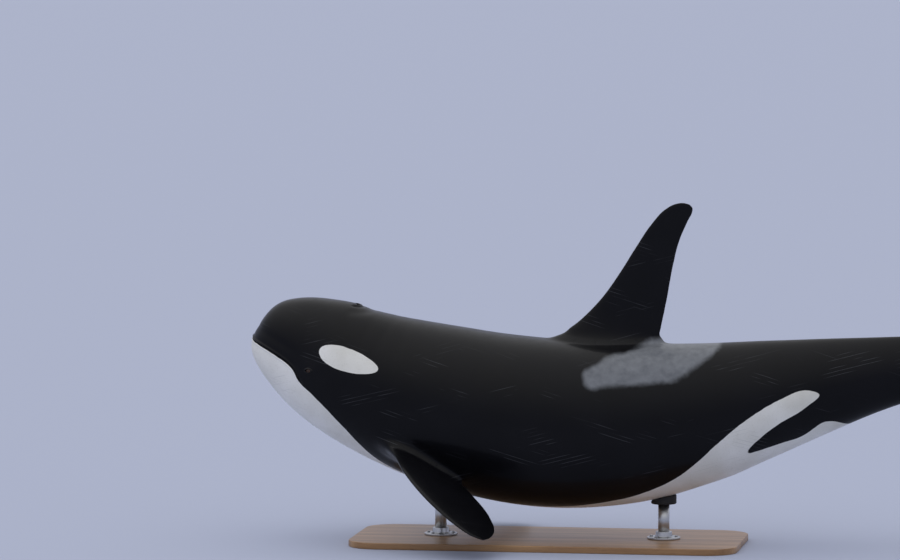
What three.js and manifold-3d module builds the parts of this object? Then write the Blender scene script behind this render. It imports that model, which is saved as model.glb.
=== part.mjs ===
// A young male orca as he breathes at the surface: head lifted, back awash, tail on its upstroke.
// Life size, held by two short rods on a flat display base. Millimetres, +Z up.
// +X runs from the snout towards the tail, and the animal's left side faces -Y.
// The origin is the middle of the base's underside.
import * as THREE from "three";
import { mergeVertices } from "three/addons/utils/BufferGeometryUtils.js";
import Module from "manifold-3d";

const wasm = await Module();
wasm.setup();

// Driving sizes
const bodyLength = 6400; // along the spine, snout tip to the notch between the flukes
const gap = 0.3; // between pieces that touch
const markingDepth = 45; // how deep a marking is let into the body
const spineHeight = 915; // of the spine over the floor where it crosses the origin
const balanceAt = 0.377; // share of the length that stands over the origin

// Heights are from the spine line, and all of these are shares of the body's length.
// full is the power of the section's curve: 2 is an ellipse, less is keeled, more is boxy.
const form = [
  { at: 0, top: -0.004, bottom: -0.004, side: 0, full: 2.1 },
  { at: 0.01, top: 0.041, bottom: -0.026, side: 0.0265, full: 2.15 },
  { at: 0.035, top: 0.062, bottom: -0.0445, side: 0.0435, full: 2.2 },
  { at: 0.08, top: 0.077, bottom: -0.066, side: 0.059, full: 2.2 },
  { at: 0.15, top: 0.0845, bottom: -0.084, side: 0.076, full: 2.1 },
  { at: 0.27, top: 0.098, bottom: -0.098, side: 0.091, full: 2.1 },
  { at: 0.4, top: 0.104, bottom: -0.098, side: 0.09, full: 2.1 },
  { at: 0.52, top: 0.096, bottom: -0.086, side: 0.074, full: 2.0 },
  { at: 0.64, top: 0.077, bottom: -0.064, side: 0.052, full: 1.85 },
  { at: 0.76, top: 0.053, bottom: -0.042, side: 0.031, full: 1.7 },
  { at: 0.88, top: 0.032, bottom: -0.026, side: 0.0165, full: 1.6 },
  { at: 0.95, top: 0.019, bottom: -0.016, side: 0.0125, full: 1.8 },
  { at: 1, top: 0.004, bottom: -0.004, side: 0.004, full: 2 },
];
const widestShare = 0.46; // where the section is widest, as a share of its height

// How steeply the spine points up towards the snout, in degrees
const pitch = [
  [0, 23],
  [0.1, 21],
  [0.2, 16.5],
  [0.3, 11.5],
  [0.4, 3],
  [0.5, -7],
  [0.6, -13],
  [0.72, -14],
  [0.86, -9],
  [1, -1],
];

// Where the body is parted, as shares of its length
const partings = { nape: 0.17, midriff: 0.34, loin: 0.545 };

// The mouth, and the white chin and throat below it, as [at, height] shares
const mouthLine = [
  [-0.01, -0.0055],
  [0.012, -0.0055],
  [0.035, -0.0065],
  [0.056, -0.0095],
  [0.069, -0.0145],
  [0.077, -0.0215],
];
const throatLine = [
  [0.077, -0.0215],
  [0.1, -0.031],
  [0.13, -0.045],
  [0.155, -0.061],
  [0.18, -0.078],
];
const jawBack = 0.0805; // the lower jaw ends here, and the throat begins
const lip = { groove: 7, ridge: 12, aside: 15, sunk: 8 }; // the mouth's line, and the lips along it

// White and grey markings, as [at, height] shares seen from the side
const eyePatch = { at: 0.128, height: 0.0235, length: 0.078, depth: 0.027, tilt: 4 };
const flankPatch = [
  [0.475, -0.0905],
  [0.51, -0.0735],
  [0.55, -0.0505],
  [0.59, -0.0255],
  [0.63, -0.0065],
  [0.668, 0.0045],
  [0.7, 0.0065],
  [0.711, -0.001],
  [0.692, -0.0125],
  [0.655, -0.0245],
  [0.622, -0.0405],
  [0.6, -0.057],
  [0.588, -0.08],
  [0.53, -0.11],
];
const saddlePatch = [
  [0.502, 0.13],
  [0.497, 0.0945],
  [0.472, 0.085],
  [0.437, 0.0765],
  [0.424, 0.0665],
  [0.436, 0.0585],
  [0.475, 0.0555],
  [0.52, 0.0525],
  [0.556, 0.0565],
  [0.588, 0.0685],
  [0.606, 0.0855],
  [0.6, 0.12],
];
// Half widths of the white belly behind the throat, seen from below
const bellyBand = [
  [0.2, 0.0365],
  [0.24, 0.025],
  [0.3, 0.022],
  [0.38, 0.027],
  [0.46, 0.039],
  [0.53, 0.045],
  [0.6, 0.038],
  [0.67, 0.024],
  [0.73, 0.009],
];

// Eye and blowhole
const eye = { at: 0.086, height: -0.007, long: 27, high: 20, deep: 17, lid: 8 };
const blowhole = { at: 0.101, aside: -12, radius: 52, groove: 8, turn: 105 };
const blowholeRim = { thick: 12, aside: 19, sunk: 8 };

// Dorsal fin: [back, up] from the front of its root, seen from the side
const finFoot = { at: 0.3735, sunk: 62 }; // where its front comes out of the back
const finLead = [
  [-60, -60],
  [45, 84],
  [200, 206],
  [380, 393],
  [512, 580],
  [628, 766],
  [752, 952],
  [857, 1067],
  [930, 1108],
  [1000, 1119],
];
const finTrail = [
  [800, -190],
  [808, 20],
  [820, 115],
  [857, 301],
  [893, 487],
  [927, 673],
  [978, 859],
  [1030, 975],
  [1066, 1045],
  [1069, 1080],
];
const finTip = [1046, 1108];
const finThick = { root: 54, tip: 17, flare: 84, flareOver: 115 };

// Flippers: [out, forward] from the middle of the root, in the flipper's own plane
const flipperRoot = { at: 0.222, height: -0.058, inset: 120 };
const flipperAim = { back: 42, down: 25, twist: 14 }; // degrees
const flipperLead = [
  [-60, 190],
  [150, 200],
  [380, 262],
  [640, 288],
  [880, 262],
  [1080, 190],
  [1210, 90],
];
const flipperTrail = [
  [-60, -205],
  [150, -215],
  [380, -275],
  [640, -312],
  [880, -300],
  [1080, -225],
  [1200, -110],
];
const flipperTip = [1248, -15];
const flipperThick = { root: 66, tip: 17, flare: 26, flareOver: 110 };
const flipperDroop = 70; // how far the tip bends down out of the plane

// Flukes: [at, out] with at as a share of the body and out in millimetres
const flukeLead = [
  [0.872, 0],
  [0.889, 66],
  [0.905, 116],
  [0.921, 188],
  [0.938, 296],
  [0.958, 456],
  [0.979, 640],
  [0.998, 790],
  [1.013, 876],
];
const flukeTrail = [
  [0.998, 0],
  [1.0105, 50],
  [1.0185, 170],
  [1.018, 370],
  [1.016, 590],
  [1.0185, 765],
  [1.0245, 868],
];
const flukeTip = [1.0275, 912];
const flukeThick = { root: 62, tip: 13, flare: 34, flareOver: 120 };
const flukeHeight = 0.001;
const flukeDroop = 120; // of the tips below the roots
const notchHalf = 4; // half the slit between the two flukes behind the stock

// Stand
const base = { length: 3000, width: 1240, thick: 50, corner: 240, chamfer: 6 };
const rodAt = { front: 0.266, rear: 0.505 };
const rod = { radius: 44, sides: 20 };
const flange = { radius: 128, thick: 16, sleeve: 62, sleeveHigh: 58 };
const pad = { radius: 98, under: 52, edge: 10 }; // under the belly, at the pad's middle
const bolts = { count: 6, circle: 97, radius: 12, high: 11 };

// Fineness
const bodyMesh = { around: 32, stations: 46 };
const coreMesh = { around: 20, stations: 22 }; // of the surface under the markings
const markingStep = 3; // points between two given points of a marking's outline

const paint = {
  skin_black: { color: 0x15161a, roughness: 0.32 },
  skin_white: { color: 0xe4e3dc, roughness: 0.36 },
  skin_grey: { color: 0x75787c, roughness: 0.4 },
  eye_brown: { color: 0x20140e, roughness: 0.08 },
  base_oak: { color: 0xa88a64, roughness: 0.5 },
  rod_steel: { color: 0xb4b6b8, roughness: 0.3, metalness: 1 },
  pad_rubber: { color: 0x1d1d1e, roughness: 0.8 },
};
const materials = Object.fromEntries(
  Object.entries(paint).map(([name, look]) => [name, new THREE.MeshStandardMaterial({ name, ...look })]),
);

// A smooth curve through rows of numbers. A row starts with where it stands, and the rest are its values.
function through(rows) {
  const last = rows.length - 1;
  const rise = (i, k) => (rows[i + 1][k] - rows[i][k]) / (rows[i + 1][0] - rows[i][0]);
  const slope = (i, k) => {
    if (i === 0) return rise(0, k);
    if (i === last) return rise(last - 1, k);
    const before = rows[i][0] - rows[i - 1][0];
    const after = rows[i + 1][0] - rows[i][0];
    return (rise(i - 1, k) * after + rise(i, k) * before) / (before + after);
  };
  return (at, k = 1) => {
    let i = 0;
    while (i < last - 1 && at > rows[i + 1][0]) i += 1;
    const width = rows[i + 1][0] - rows[i][0];
    const t = THREE.MathUtils.clamp((at - rows[i][0]) / width, 0, 1);
    const start = 2 * t ** 3 - 3 * t ** 2 + 1;
    return (
      start * rows[i][k] +
      (1 - start) * rows[i + 1][k] +
      (t ** 3 - 2 * t ** 2 + t) * width * slope(i, k) +
      (t ** 3 - t ** 2) * width * slope(i + 1, k)
    );
  };
}

// The same for points of a line, spaced by the distance between them and read from 0 to 1.
function lineThrough(points) {
  let run = 0;
  const rows = points.map((point, i) => {
    if (i) run += Math.hypot(...point.map((value, k) => value - points[i - 1][k]));
    return [run, ...point];
  });
  const curve = through(rows);
  return (t) => points[0].map((_, k) => curve(t * run, k + 1));
}

// The spine: a line in the XZ plane, walked in small steps from its pitch
const pitchAt = through(pitch);
const spineSteps = 500;
const spineEnds = [-0.03, 1.06];
const spine = (() => {
  const step = (spineEnds[1] - spineEnds[0]) / spineSteps;
  const points = [{ x: 0, z: 0 }];
  for (let i = 0; i < spineSteps; i += 1) {
    const lean = THREE.MathUtils.degToRad(pitchAt(spineEnds[0] + (i + 0.5) * step));
    const before = points[i];
    points.push({
      x: before.x + step * bodyLength * Math.cos(lean),
      z: before.z - step * bodyLength * Math.sin(lean),
    });
  }
  return points;
})();
function spinePoint(at) {
  const place = ((at - spineEnds[0]) / (spineEnds[1] - spineEnds[0])) * spineSteps;
  const i = THREE.MathUtils.clamp(Math.floor(place), 0, spineSteps - 1);
  const t = place - i;
  return {
    x: THREE.MathUtils.lerp(spine[i].x, spine[i + 1].x, t),
    z: THREE.MathUtils.lerp(spine[i].z, spine[i + 1].z, t),
  };
}
const spineOrigin = spinePoint(balanceAt);

// A point of the animal: at along the spine, y to its right, and height above the spine line in millimetres.
function place(at, y, height) {
  const lean = THREE.MathUtils.degToRad(pitchAt(at));
  const { x, z } = spinePoint(at);
  return new THREE.Vector3(
    x - spineOrigin.x + height * Math.sin(lean),
    y,
    z - spineOrigin.z + spineHeight + height * Math.cos(lean),
  );
}

// The body's section at a station, taken in by inset. Sizes run over the root of at, which rounds the snout.
const sizeAt = through(form.map((row) => [Math.sqrt(row.at), row.top, row.bottom, row.side, row.full]));
function section(at, inset = 0) {
  const root = Math.sqrt(at);
  const top = sizeAt(root, 1) * bodyLength - inset;
  const bottom = sizeAt(root, 2) * bodyLength + inset;
  return {
    top,
    bottom,
    side: sizeAt(root, 3) * bodyLength - inset,
    full: sizeAt(root, 4),
    widest: THREE.MathUtils.lerp(bottom, top, widestShare),
  };
}
const bulge = (value, power) => Math.sign(value) * Math.abs(value) ** (2 / power);
function sideOf(at, height, inset = 0) {
  const { top, bottom, side, full, widest } = section(at, inset);
  const reach = height > widest ? top - widest : widest - bottom;
  const share = Math.min(Math.abs(height - widest) / reach, 1);
  return side * (1 - share ** full) ** (1 / full);
}
function topOf(at, y) {
  const { top, side, full, widest } = section(at);
  return widest + (top - widest) * (1 - (Math.abs(y) / side) ** full) ** (1 / full);
}

// A closed skin over rings of points, with a point at each end
function skinOver(rings, first, last) {
  const count = rings[0].length;
  const points = [first, ...rings.flat(), last];
  const corner = (ring, j) => 1 + ring * count + (j % count);
  const index = [];
  for (let j = 0; j < count; j += 1) {
    index.push(0, corner(0, j + 1), corner(0, j));
    index.push(points.length - 1, corner(rings.length - 1, j), corner(rings.length - 1, j + 1));
    for (let r = 0; r < rings.length - 1; r += 1) {
      index.push(corner(r, j), corner(r, j + 1), corner(r + 1, j));
      index.push(corner(r, j + 1), corner(r + 1, j + 1), corner(r + 1, j));
    }
  }
  const geometry = new THREE.BufferGeometry().setFromPoints(points);
  geometry.setIndex(index);
  return geometry;
}

// Solids for joining and cutting
function solid(geometry) {
  const bare = geometry.clone();
  bare.deleteAttribute("normal");
  bare.deleteAttribute("uv");
  const merged = mergeVertices(bare, 1e-3);
  const vertProperties = merged.attributes.position.array;
  const build = (triVerts) => new wasm.Manifold(new wasm.Mesh({ numProp: 3, vertProperties, triVerts }));
  const triVerts = new Uint32Array(merged.index.array);
  const made = build(triVerts);
  return made.volume() < 0 ? build(triVerts.reverse()) : made;
}
function largest(cut) {
  return cut.decompose().reduce((best, piece) => (piece.volume() > best.volume() ? piece : best));
}

const orca = new THREE.Group();
orca.name = "orca";
function addNode(name, slot, cut) {
  const { numProp, vertProperties, triVerts } = largest(cut).getMesh();
  const points = [];
  for (let i = 0; i < vertProperties.length; i += numProp) {
    points.push(...vertProperties.subarray(i, i + 3));
  }
  const geometry = new THREE.BufferGeometry();
  geometry.setAttribute("position", new THREE.Float32BufferAttribute(points, 3));
  geometry.setIndex([...triVerts]);
  geometry.computeVertexNormals();
  const mesh = new THREE.Mesh(geometry, materials[slot]);
  mesh.name = name;
  orca.add(mesh);
}

// The body as one skin, from one station to another
function bodySkin(from, to, inset, { around, stations } = bodyMesh) {
  const rings = [];
  for (let i = 0; i < stations; i += 1) {
    const spread = ((i + 1) / (stations + 1)) ** 1.65; // closer together at the head
    const at = THREE.MathUtils.lerp(from, to, spread);
    const { top, bottom, side, full, widest } = section(at, inset);
    const ring = [];
    for (let j = 0; j < around; j += 1) {
      const turn = (j / around) * 2 * Math.PI;
      const reach = Math.sin(turn) > 0 ? top - widest : widest - bottom;
      ring.push(place(at, side * bulge(Math.cos(turn), full), widest + reach * bulge(Math.sin(turn), full)));
    }
    rings.push(ring);
  }
  const middle = (at) => place(at, 0, section(at, inset).widest);
  return solid(skinOver(rings, middle(from), middle(to)));
}

// A prism across the animal from an outline of [at, height] shares, between two values of y
function sidePrism(outline, yFrom, yTo) {
  const shape = new THREE.Shape(
    outline.map(([at, height]) => {
      const { x, z } = place(at, 0, height * bodyLength);
      return new THREE.Vector2(x, z);
    }),
  );
  const geometry = new THREE.ExtrudeGeometry(shape, { depth: yTo - yFrom, bevelEnabled: false, steps: 1 });
  geometry.rotateX(Math.PI / 2);
  geometry.translate(0, yTo, 0);
  return solid(geometry);
}

// An outline moved out by a distance in millimetres
function grown(outline, distance) {
  const turns = outline.reduce((sum, [x, y], i) => {
    const [nextX, nextY] = outline[(i + 1) % outline.length];
    return sum + x * nextY - nextX * y;
  }, 0);
  const out = (Math.sign(turns) * distance) / bodyLength;
  return outline.map(([x, y], i) => {
    const before = outline[(i + outline.length - 1) % outline.length];
    const after = outline[(i + 1) % outline.length];
    const run = Math.hypot(after[0] - before[0], after[1] - before[1]);
    return [x + (out * (after[1] - before[1])) / run, y - (out * (after[0] - before[0])) / run];
  });
}

// A closed outline with smooth stretches between its points
function rounded(points) {
  const wrap = (i) => points[(i + points.length) % points.length];
  return points.flatMap((_, i) => {
    const line = lineThrough([wrap(i - 1), wrap(i), wrap(i + 1), wrap(i + 2)]);
    const spans = [0, 1, 2].map((k) => Math.hypot(...wrap(i + k).map((v, n) => v - wrap(i + k - 1)[n])));
    const total = spans[0] + spans[1] + spans[2];
    return Array.from({ length: markingStep }, (_unused, k) =>
      line((spans[0] + (spans[1] * k) / markingStep) / total),
    );
  });
}
function oval({ at, height, length, depth, tilt }) {
  const steps = 28;
  const lean = THREE.MathUtils.degToRad(tilt);
  return Array.from({ length: steps }, (_, i) => {
    const turn = (i / steps) * 2 * Math.PI;
    const along = (length / 2) * Math.cos(turn);
    const up = (depth / 2) * Math.sin(turn) * (1 - 0.18 * Math.cos(turn)); // fuller in front
    return [
      at + along * Math.cos(lean) - up * Math.sin(lean),
      height + along * Math.sin(lean) + up * Math.cos(lean),
    ];
  });
}

// The stretch of the animal between two stations
const wide = 2000;
function between(from, to) {
  const tall = 0.35;
  const steps = 6;
  const stops = Array.from({ length: steps + 1 }, (_, i) => THREE.MathUtils.lerp(from, to, i / steps));
  return sidePrism(
    [...stops.map((at) => [at, -tall]), ...stops.reverse().map((at) => [at, tall])],
    -wide,
    wide,
  );
}
const half = gap / 2 / bodyLength;

// A fin: foil sections from root to tip, each from a point of its front edge to one of its back edge
function blade({ lead, trail, tip, place: toWorld, thick, height, slices = 13, sides = 12 }) {
  const leadLine = lineThrough([...lead, tip]);
  const trailLine = lineThrough([...trail, tip]);
  const rings = [];
  for (let i = 0; i < slices; i += 1) {
    const t = Math.sin(((i / slices) * Math.PI) / 2);
    const front = leadLine(t);
    const back = trailLine(t);
    const grow = thick.flare * Math.exp(-Math.max(height(front, back), 0) / thick.flareOver);
    const body = THREE.MathUtils.lerp(thick.root, thick.tip, t) + grow;
    const taper = Math.sqrt(1 - t ** 6);
    const ring = [];
    for (let j = 0; j < sides; j += 1) {
      const turn = (j / sides) * 2 * Math.PI;
      const share = (1 - Math.cos(turn)) / 2;
      const off = body * taper * Math.sin(turn) * (1 - 0.62 * share);
      const [along, across] = front.map((value, k) => value + (back[k] - value) * share);
      ring.push(toWorld(along, across, off));
    }
    rings.push(ring);
  }
  const start = leadLine(0).map((value, k) => (value + trailLine(0)[k]) / 2);
  return solid(skinOver(rings, toWorld(...start, 0), toWorld(...tip, 0)));
}

function mirrored(piece) {
  const { numProp, vertProperties, triVerts } = piece.getMesh();
  const points = new Float32Array(vertProperties);
  for (let i = 1; i < points.length; i += numProp) points[i] *= -1;
  const turned = new Uint32Array(triVerts).reverse();
  return new wasm.Manifold(new wasm.Mesh({ numProp, vertProperties: points, triVerts: turned }));
}

// Dorsal fin
function dorsalFin() {
  const foot = place(finFoot.at, 0, section(finFoot.at).top - finFoot.sunk);
  return blade({
    lead: finLead,
    trail: finTrail,
    tip: finTip,
    place: (back, up, off) => new THREE.Vector3(foot.x + back, off, foot.z + up),
    thick: finThick,
    height: (front, back) => (front[1] + back[1]) / 2,
    slices: 15,
  });
}

// Right flipper, on the +Y side
function flipper() {
  const { at, height, inset } = flipperRoot;
  const foot = place(at, sideOf(at, height * bodyLength) - inset, height * bodyLength);
  const aim = [flipperAim.back, flipperAim.down, flipperAim.twist];
  const [back, down, twist] = aim.map(THREE.MathUtils.degToRad);
  const out = new THREE.Vector3(
    Math.sin(back) * Math.cos(down),
    Math.cos(back) * Math.cos(down),
    -Math.sin(down),
  );
  const up = new THREE.Vector3(0, 0, 1).projectOnPlane(out).normalize().applyAxisAngle(out, twist);
  const forward = new THREE.Vector3().crossVectors(up, out);
  if (forward.x > 0) forward.negate();
  return blade({
    lead: flipperLead,
    trail: flipperTrail,
    tip: flipperTip,
    place: (reach, ahead, off) => {
      const bend = flipperDroop * (Math.max(reach, 0) / flipperTip[0]) ** 2;
      return foot
        .clone()
        .addScaledVector(out, reach)
        .addScaledVector(forward, ahead)
        .addScaledVector(up, off - bend);
    },
    thick: flipperThick,
    height: (front, back) => (front[0] + back[0]) / 2 - inset,
    slices: 14,
  });
}

// Right fluke, on the +Y side
function fluke() {
  return blade({
    lead: flukeLead,
    trail: flukeTrail,
    tip: flukeTip,
    place: (at, out, off) => {
      const bend = flukeDroop * (out / flukeTip[1]) ** 2;
      return place(at, out, flukeHeight * bodyLength + off - bend);
    },
    thick: flukeThick,
    height: (front, back) => (front[1] + back[1]) / 2,
    slices: 14,
  });
}

// A thin six-sided bar along a line, for the mouth, the lips and the blowhole
function bar(points, radius) {
  const curve = new THREE.CatmullRomCurve3(points);
  const shape = new THREE.Shape(
    [0, 1, 2, 3, 4, 5].map((k) => {
      const turn = (k * Math.PI) / 3;
      return new THREE.Vector2(radius * Math.cos(turn), radius * Math.sin(turn));
    }),
  );
  return solid(
    new THREE.ExtrudeGeometry(shape, { extrudePath: curve, steps: points.length, bevelEnabled: false }),
  );
}

function ellipsoid(centre, radii, segments = 12) {
  const geometry = new THREE.SphereGeometry(1, segments, segments / 2);
  geometry.scale(...radii);
  geometry.rotateY(THREE.MathUtils.degToRad(pitchAt(eye.at)));
  geometry.translate(...centre.toArray());
  return solid(geometry);
}

const body = bodySkin(0, 1, 0);
const bodyGrown = bodySkin(0, 1, -gap);
const coreFrom = 0.05;
const coreTo = 0.93;
const core = bodySkin(coreFrom, coreTo, markingDepth, coreMesh);
const coreInner = bodySkin(coreFrom, coreTo, markingDepth + gap, coreMesh);

// Chin and throat, cut right through below the mouth
const mouthCurve = lineThrough(mouthLine);
const throatCurve = lineThrough(throatLine);
const lineSteps = 10;
const sampled = (curve) => Array.from({ length: lineSteps + 1 }, (_, i) => curve(i / lineSteps));
const deep = -0.2; // well under the belly
const underMouth = [...sampled(mouthCurve), ...sampled(throatCurve).slice(1)];
const [lineStart] = mouthLine;
const lineEnd = throatLine[throatLine.length - 1];
const under = (drop) =>
  sidePrism(
    [
      ...underMouth.map(([at, height]) => [at, height - drop]),
      [lineEnd[0] + half, lineEnd[1] - drop],
      [lineEnd[0] + half, deep],
      [lineStart[0], deep],
    ],
    -wide,
    wide,
  );
const white = under(half);
const blackOver = body.subtract(under(-half));

// A bar along the mouth, on both sides and round the snout, moved up the skin by a distance and sunk under it
function alongMouth(radius, up, sunk) {
  const side = sampled(mouthCurve)
    .filter(([at]) => at > 0.0015)
    .map(([at, height]) => ({ at, height: height * bodyLength + up }));
  const points = [
    ...side.map(({ at, height }) => place(at, sideOf(at, height, sunk), height)).reverse(),
    place(sunk / bodyLength, 0, mouthCurve(0.13)[1] * bodyLength + up),
    ...side.map(({ at, height }) => place(at, -sideOf(at, height, sunk), height)),
  ];
  return bar(points, radius);
}
// The same along the blowhole's crescent, which is open towards the snout
function roundBlowhole(radius, out, sunk) {
  const steps = 10;
  const reach = blowhole.radius + out;
  const points = Array.from({ length: steps + 1 }, (_, i) => {
    const turn = THREE.MathUtils.degToRad(THREE.MathUtils.lerp(-blowhole.turn, blowhole.turn, i / steps));
    const at = blowhole.at + (reach * 0.8 * Math.cos(turn)) / bodyLength;
    const y = blowhole.aside + reach * Math.sin(turn);
    return place(at, y, topOf(at, y) - sunk);
  });
  return bar(points, radius);
}

// Eyes: a ball in a ringed socket
const eyeHeight = eye.height * bodyLength;
const eyePlace = (side) => place(eye.at, side * (sideOf(eye.at, eyeHeight) - 3), eyeHeight);
const eyeBall = (side, more) =>
  ellipsoid(eyePlace(side), [eye.long + more, eye.deep + more, eye.high + more]);
function eyeLids(side) {
  const ring = new THREE.TorusGeometry(1, 0.3, 6, 16);
  ring.rotateX(Math.PI / 2);
  ring.scale(eye.long + eye.lid * 0.6, eye.deep * 1.5, eye.high + eye.lid * 0.5);
  ring.rotateY(THREE.MathUtils.degToRad(pitchAt(eye.at)));
  ring.translate(...eyePlace(side).toArray());
  return solid(ring);
}

// Flesh
const saddlePrism = (more) => sidePrism(grown(rounded(saddlePatch), more), -wide, wide);
const sidePatch = (outline, side, more) => {
  const inner = 20;
  return sidePrism(grown(outline, more), side > 0 ? inner : -wide, side > 0 ? wide : -inner);
};
const bellyFrom = partings.nape;
function bellyPrism(more) {
  const throatEdge = sideOf(bellyFrom, through(throatLine)(bellyFrom) * bodyLength) / bodyLength;
  const halfWidth = through([[bellyFrom, throatEdge], ...bellyBand]);
  const steps = 34;
  const bellyTo = bellyBand[bellyBand.length - 1][0];
  const edge = Array.from({ length: steps + 1 }, (_, i) => {
    const at = THREE.MathUtils.lerp(bellyFrom, bellyTo, i / steps);
    const stretch = i === steps ? more / bodyLength : 0;
    return [at + stretch, halfWidth(at) + more / bodyLength];
  });
  const flat = ([at, y]) => {
    const { x } = place(at, 0, section(at).bottom);
    return new THREE.Vector2(x, y * bodyLength);
  };
  const shape = new THREE.Shape([...edge.map(flat), ...edge.reverse().map(([at, y]) => flat([at, -y]))]);
  const geometry = new THREE.ExtrudeGeometry(shape, { depth: spineHeight, bevelEnabled: false });
  return solid(geometry);
}
const shell = body.subtract(core);
const shellCut = (prism) => prism.subtract(coreInner);

const sides = { left: -1, right: 1 };
const patches = [];
for (const [name, side] of Object.entries(sides)) {
  const outline = oval(eyePatch);
  patches.push({
    name: `eye_patch_${name}`,
    slot: "skin_white",
    own: shell.intersect(sidePatch(outline, side, 0)),
    pocket: shellCut(sidePatch(outline, side, gap)),
  });
}
patches.push({
  name: "saddle_patch",
  slot: "skin_grey",
  own: shell.intersect(saddlePrism(0)),
  pocket: shellCut(saddlePrism(gap)),
});
const bellyPocket = shellCut(bellyPrism(gap));
patches.push({
  name: "belly",
  slot: "skin_white",
  own: shell.intersect(bellyPrism(0)).intersect(between(partings.nape + half, 0.8)),
  pocket: bellyPocket.intersect(between(partings.nape - half, 0.8)),
});
for (const [name, side] of Object.entries(sides)) {
  const outline = rounded(flankPatch);
  patches.push({
    name: `flank_patch_${name}`,
    slot: "skin_white",
    own: shell.intersect(sidePatch(outline, side, 0)).subtract(bellyPocket),
    pocket: shellCut(sidePatch(outline, side, gap)),
  });
}

const fins = { dorsal: dorsalFin(), right: flipper(), rightFluke: fluke() };
fins.left = mirrored(fins.right);
fins.leftFluke = mirrored(fins.rightFluke);

// Everything let into the black body, taken out of each length of it
const pockets = patches.reduce((sum, patch) => sum.add(patch.pocket), patches[0].pocket);
const mouth = alongMouth(lip.groove, 0, 0);
const upperLip = alongMouth(lip.ridge, lip.aside, lip.sunk);
const lowerLip = alongMouth(lip.ridge, -lip.aside, lip.sunk);
const grooves = mouth.add(roundBlowhole(blowhole.groove, 0, 0));
const blackBody = blackOver.subtract(pockets);
const stretch = (from, to) => blackBody.intersect(between(from + half, to - half));

const rim = roundBlowhole(blowholeRim.thick, blowholeRim.aside, blowholeRim.sunk);
const raised = [upperLip.subtract(under(-half)), rim, eyeLids(1), eyeLids(-1)];
let head = blackOver.intersect(between(-0.02, partings.nape - half));
head = raised.reduce((sum, ridge) => sum.add(ridge), head);
head = head.subtract(pockets).subtract(grooves).subtract(eyeBall(1, gap)).subtract(eyeBall(-1, gap));
addNode("head", "skin_black", head);
const jawAll = body.add(lowerLip).intersect(white).subtract(mouth);
addNode("lower_jaw", "skin_white", jawAll.intersect(between(-0.02, jawBack - half)));
addNode("throat", "skin_white", jawAll.intersect(between(jawBack + half, partings.nape - half)));
for (const [name, side] of Object.entries(sides)) addNode(`eye_${name}`, "eye_brown", eyeBall(side, 0));

const chest = body.subtract(pockets).intersect(between(partings.nape + half, partings.midriff - half));
addNode("chest", "skin_black", chest);
addNode("midsection", "skin_black", stretch(partings.midriff, partings.loin));
addNode("tail_stock", "skin_black", stretch(partings.loin, 1.1));
for (const { name, slot, own } of patches) addNode(name, slot, own);

addNode("dorsal_fin", "skin_black", fins.dorsal.subtract(bodyGrown));
addNode("flipper_right", "skin_black", fins.right.subtract(bodyGrown));
addNode("flipper_left", "skin_black", fins.left.subtract(bodyGrown));
const slit = sidePrism(
  [
    [0.85, 0.1],
    [0.85, -0.1],
    [1.05, -0.1],
    [1.05, 0.1],
  ],
  -notchHalf,
  notchHalf,
);
addNode("fluke_right", "skin_black", fins.rightFluke.subtract(bodyGrown).subtract(slit));
addNode("fluke_left", "skin_black", fins.leftFluke.subtract(bodyGrown).subtract(slit));

// Display stand
const floorTop = base.thick + gap;
function standBase() {
  const { length, width, thick, corner, chamfer } = base;
  const x = length / 2 - corner;
  const y = width / 2 - corner;
  const shape = new THREE.Shape();
  shape.absarc(x, y, corner, 0, Math.PI / 2);
  shape.absarc(-x, y, corner, Math.PI / 2, Math.PI);
  shape.absarc(-x, -y, corner, Math.PI, 1.5 * Math.PI);
  shape.absarc(x, -y, corner, 1.5 * Math.PI, 2 * Math.PI);
  const geometry = new THREE.ExtrudeGeometry(shape, {
    depth: thick - 2 * chamfer,
    bevelThickness: chamfer,
    bevelSize: chamfer,
    bevelOffset: -chamfer,
    bevelSegments: 1,
    curveSegments: 8,
  });
  geometry.translate(0, 0, chamfer);
  return solid(geometry);
}
function turned(profile, x) {
  const geometry = new THREE.LatheGeometry(profile.map(([r, z]) => new THREE.Vector2(r, z)), rod.sides);
  geometry.rotateX(Math.PI / 2);
  geometry.translate(x, 0, 0);
  return solid(geometry);
}
function standFlange(x) {
  const hole = rod.radius + gap;
  const top = floorTop + flange.thick;
  const ring = [
    [hole, floorTop],
    [flange.radius, floorTop],
    [flange.radius, top - 4],
    [flange.radius - 4, top],
    [flange.sleeve + 6, top],
    [flange.sleeve, top + 6],
    [flange.sleeve, floorTop + flange.sleeveHigh - 4],
    [flange.sleeve - 4, floorTop + flange.sleeveHigh],
    [hole, floorTop + flange.sleeveHigh],
    [hole, floorTop],
  ];
  const boltSunk = 4;
  return Array.from({ length: bolts.count }, (_, i) => {
    const turn = ((i + 0.5) / bolts.count) * 2 * Math.PI;
    const head = new THREE.CylinderGeometry(bolts.radius, bolts.radius, bolts.high + boltSunk, 6);
    head.rotateX(Math.PI / 2);
    head.translate(
      x + bolts.circle * Math.cos(turn),
      bolts.circle * Math.sin(turn),
      top + (bolts.high - boltSunk) / 2,
    );
    return solid(head);
  }).reduce((sum, head) => sum.add(head), turned(ring, x));
}
addNode("stand_base", "base_oak", standBase());
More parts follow.
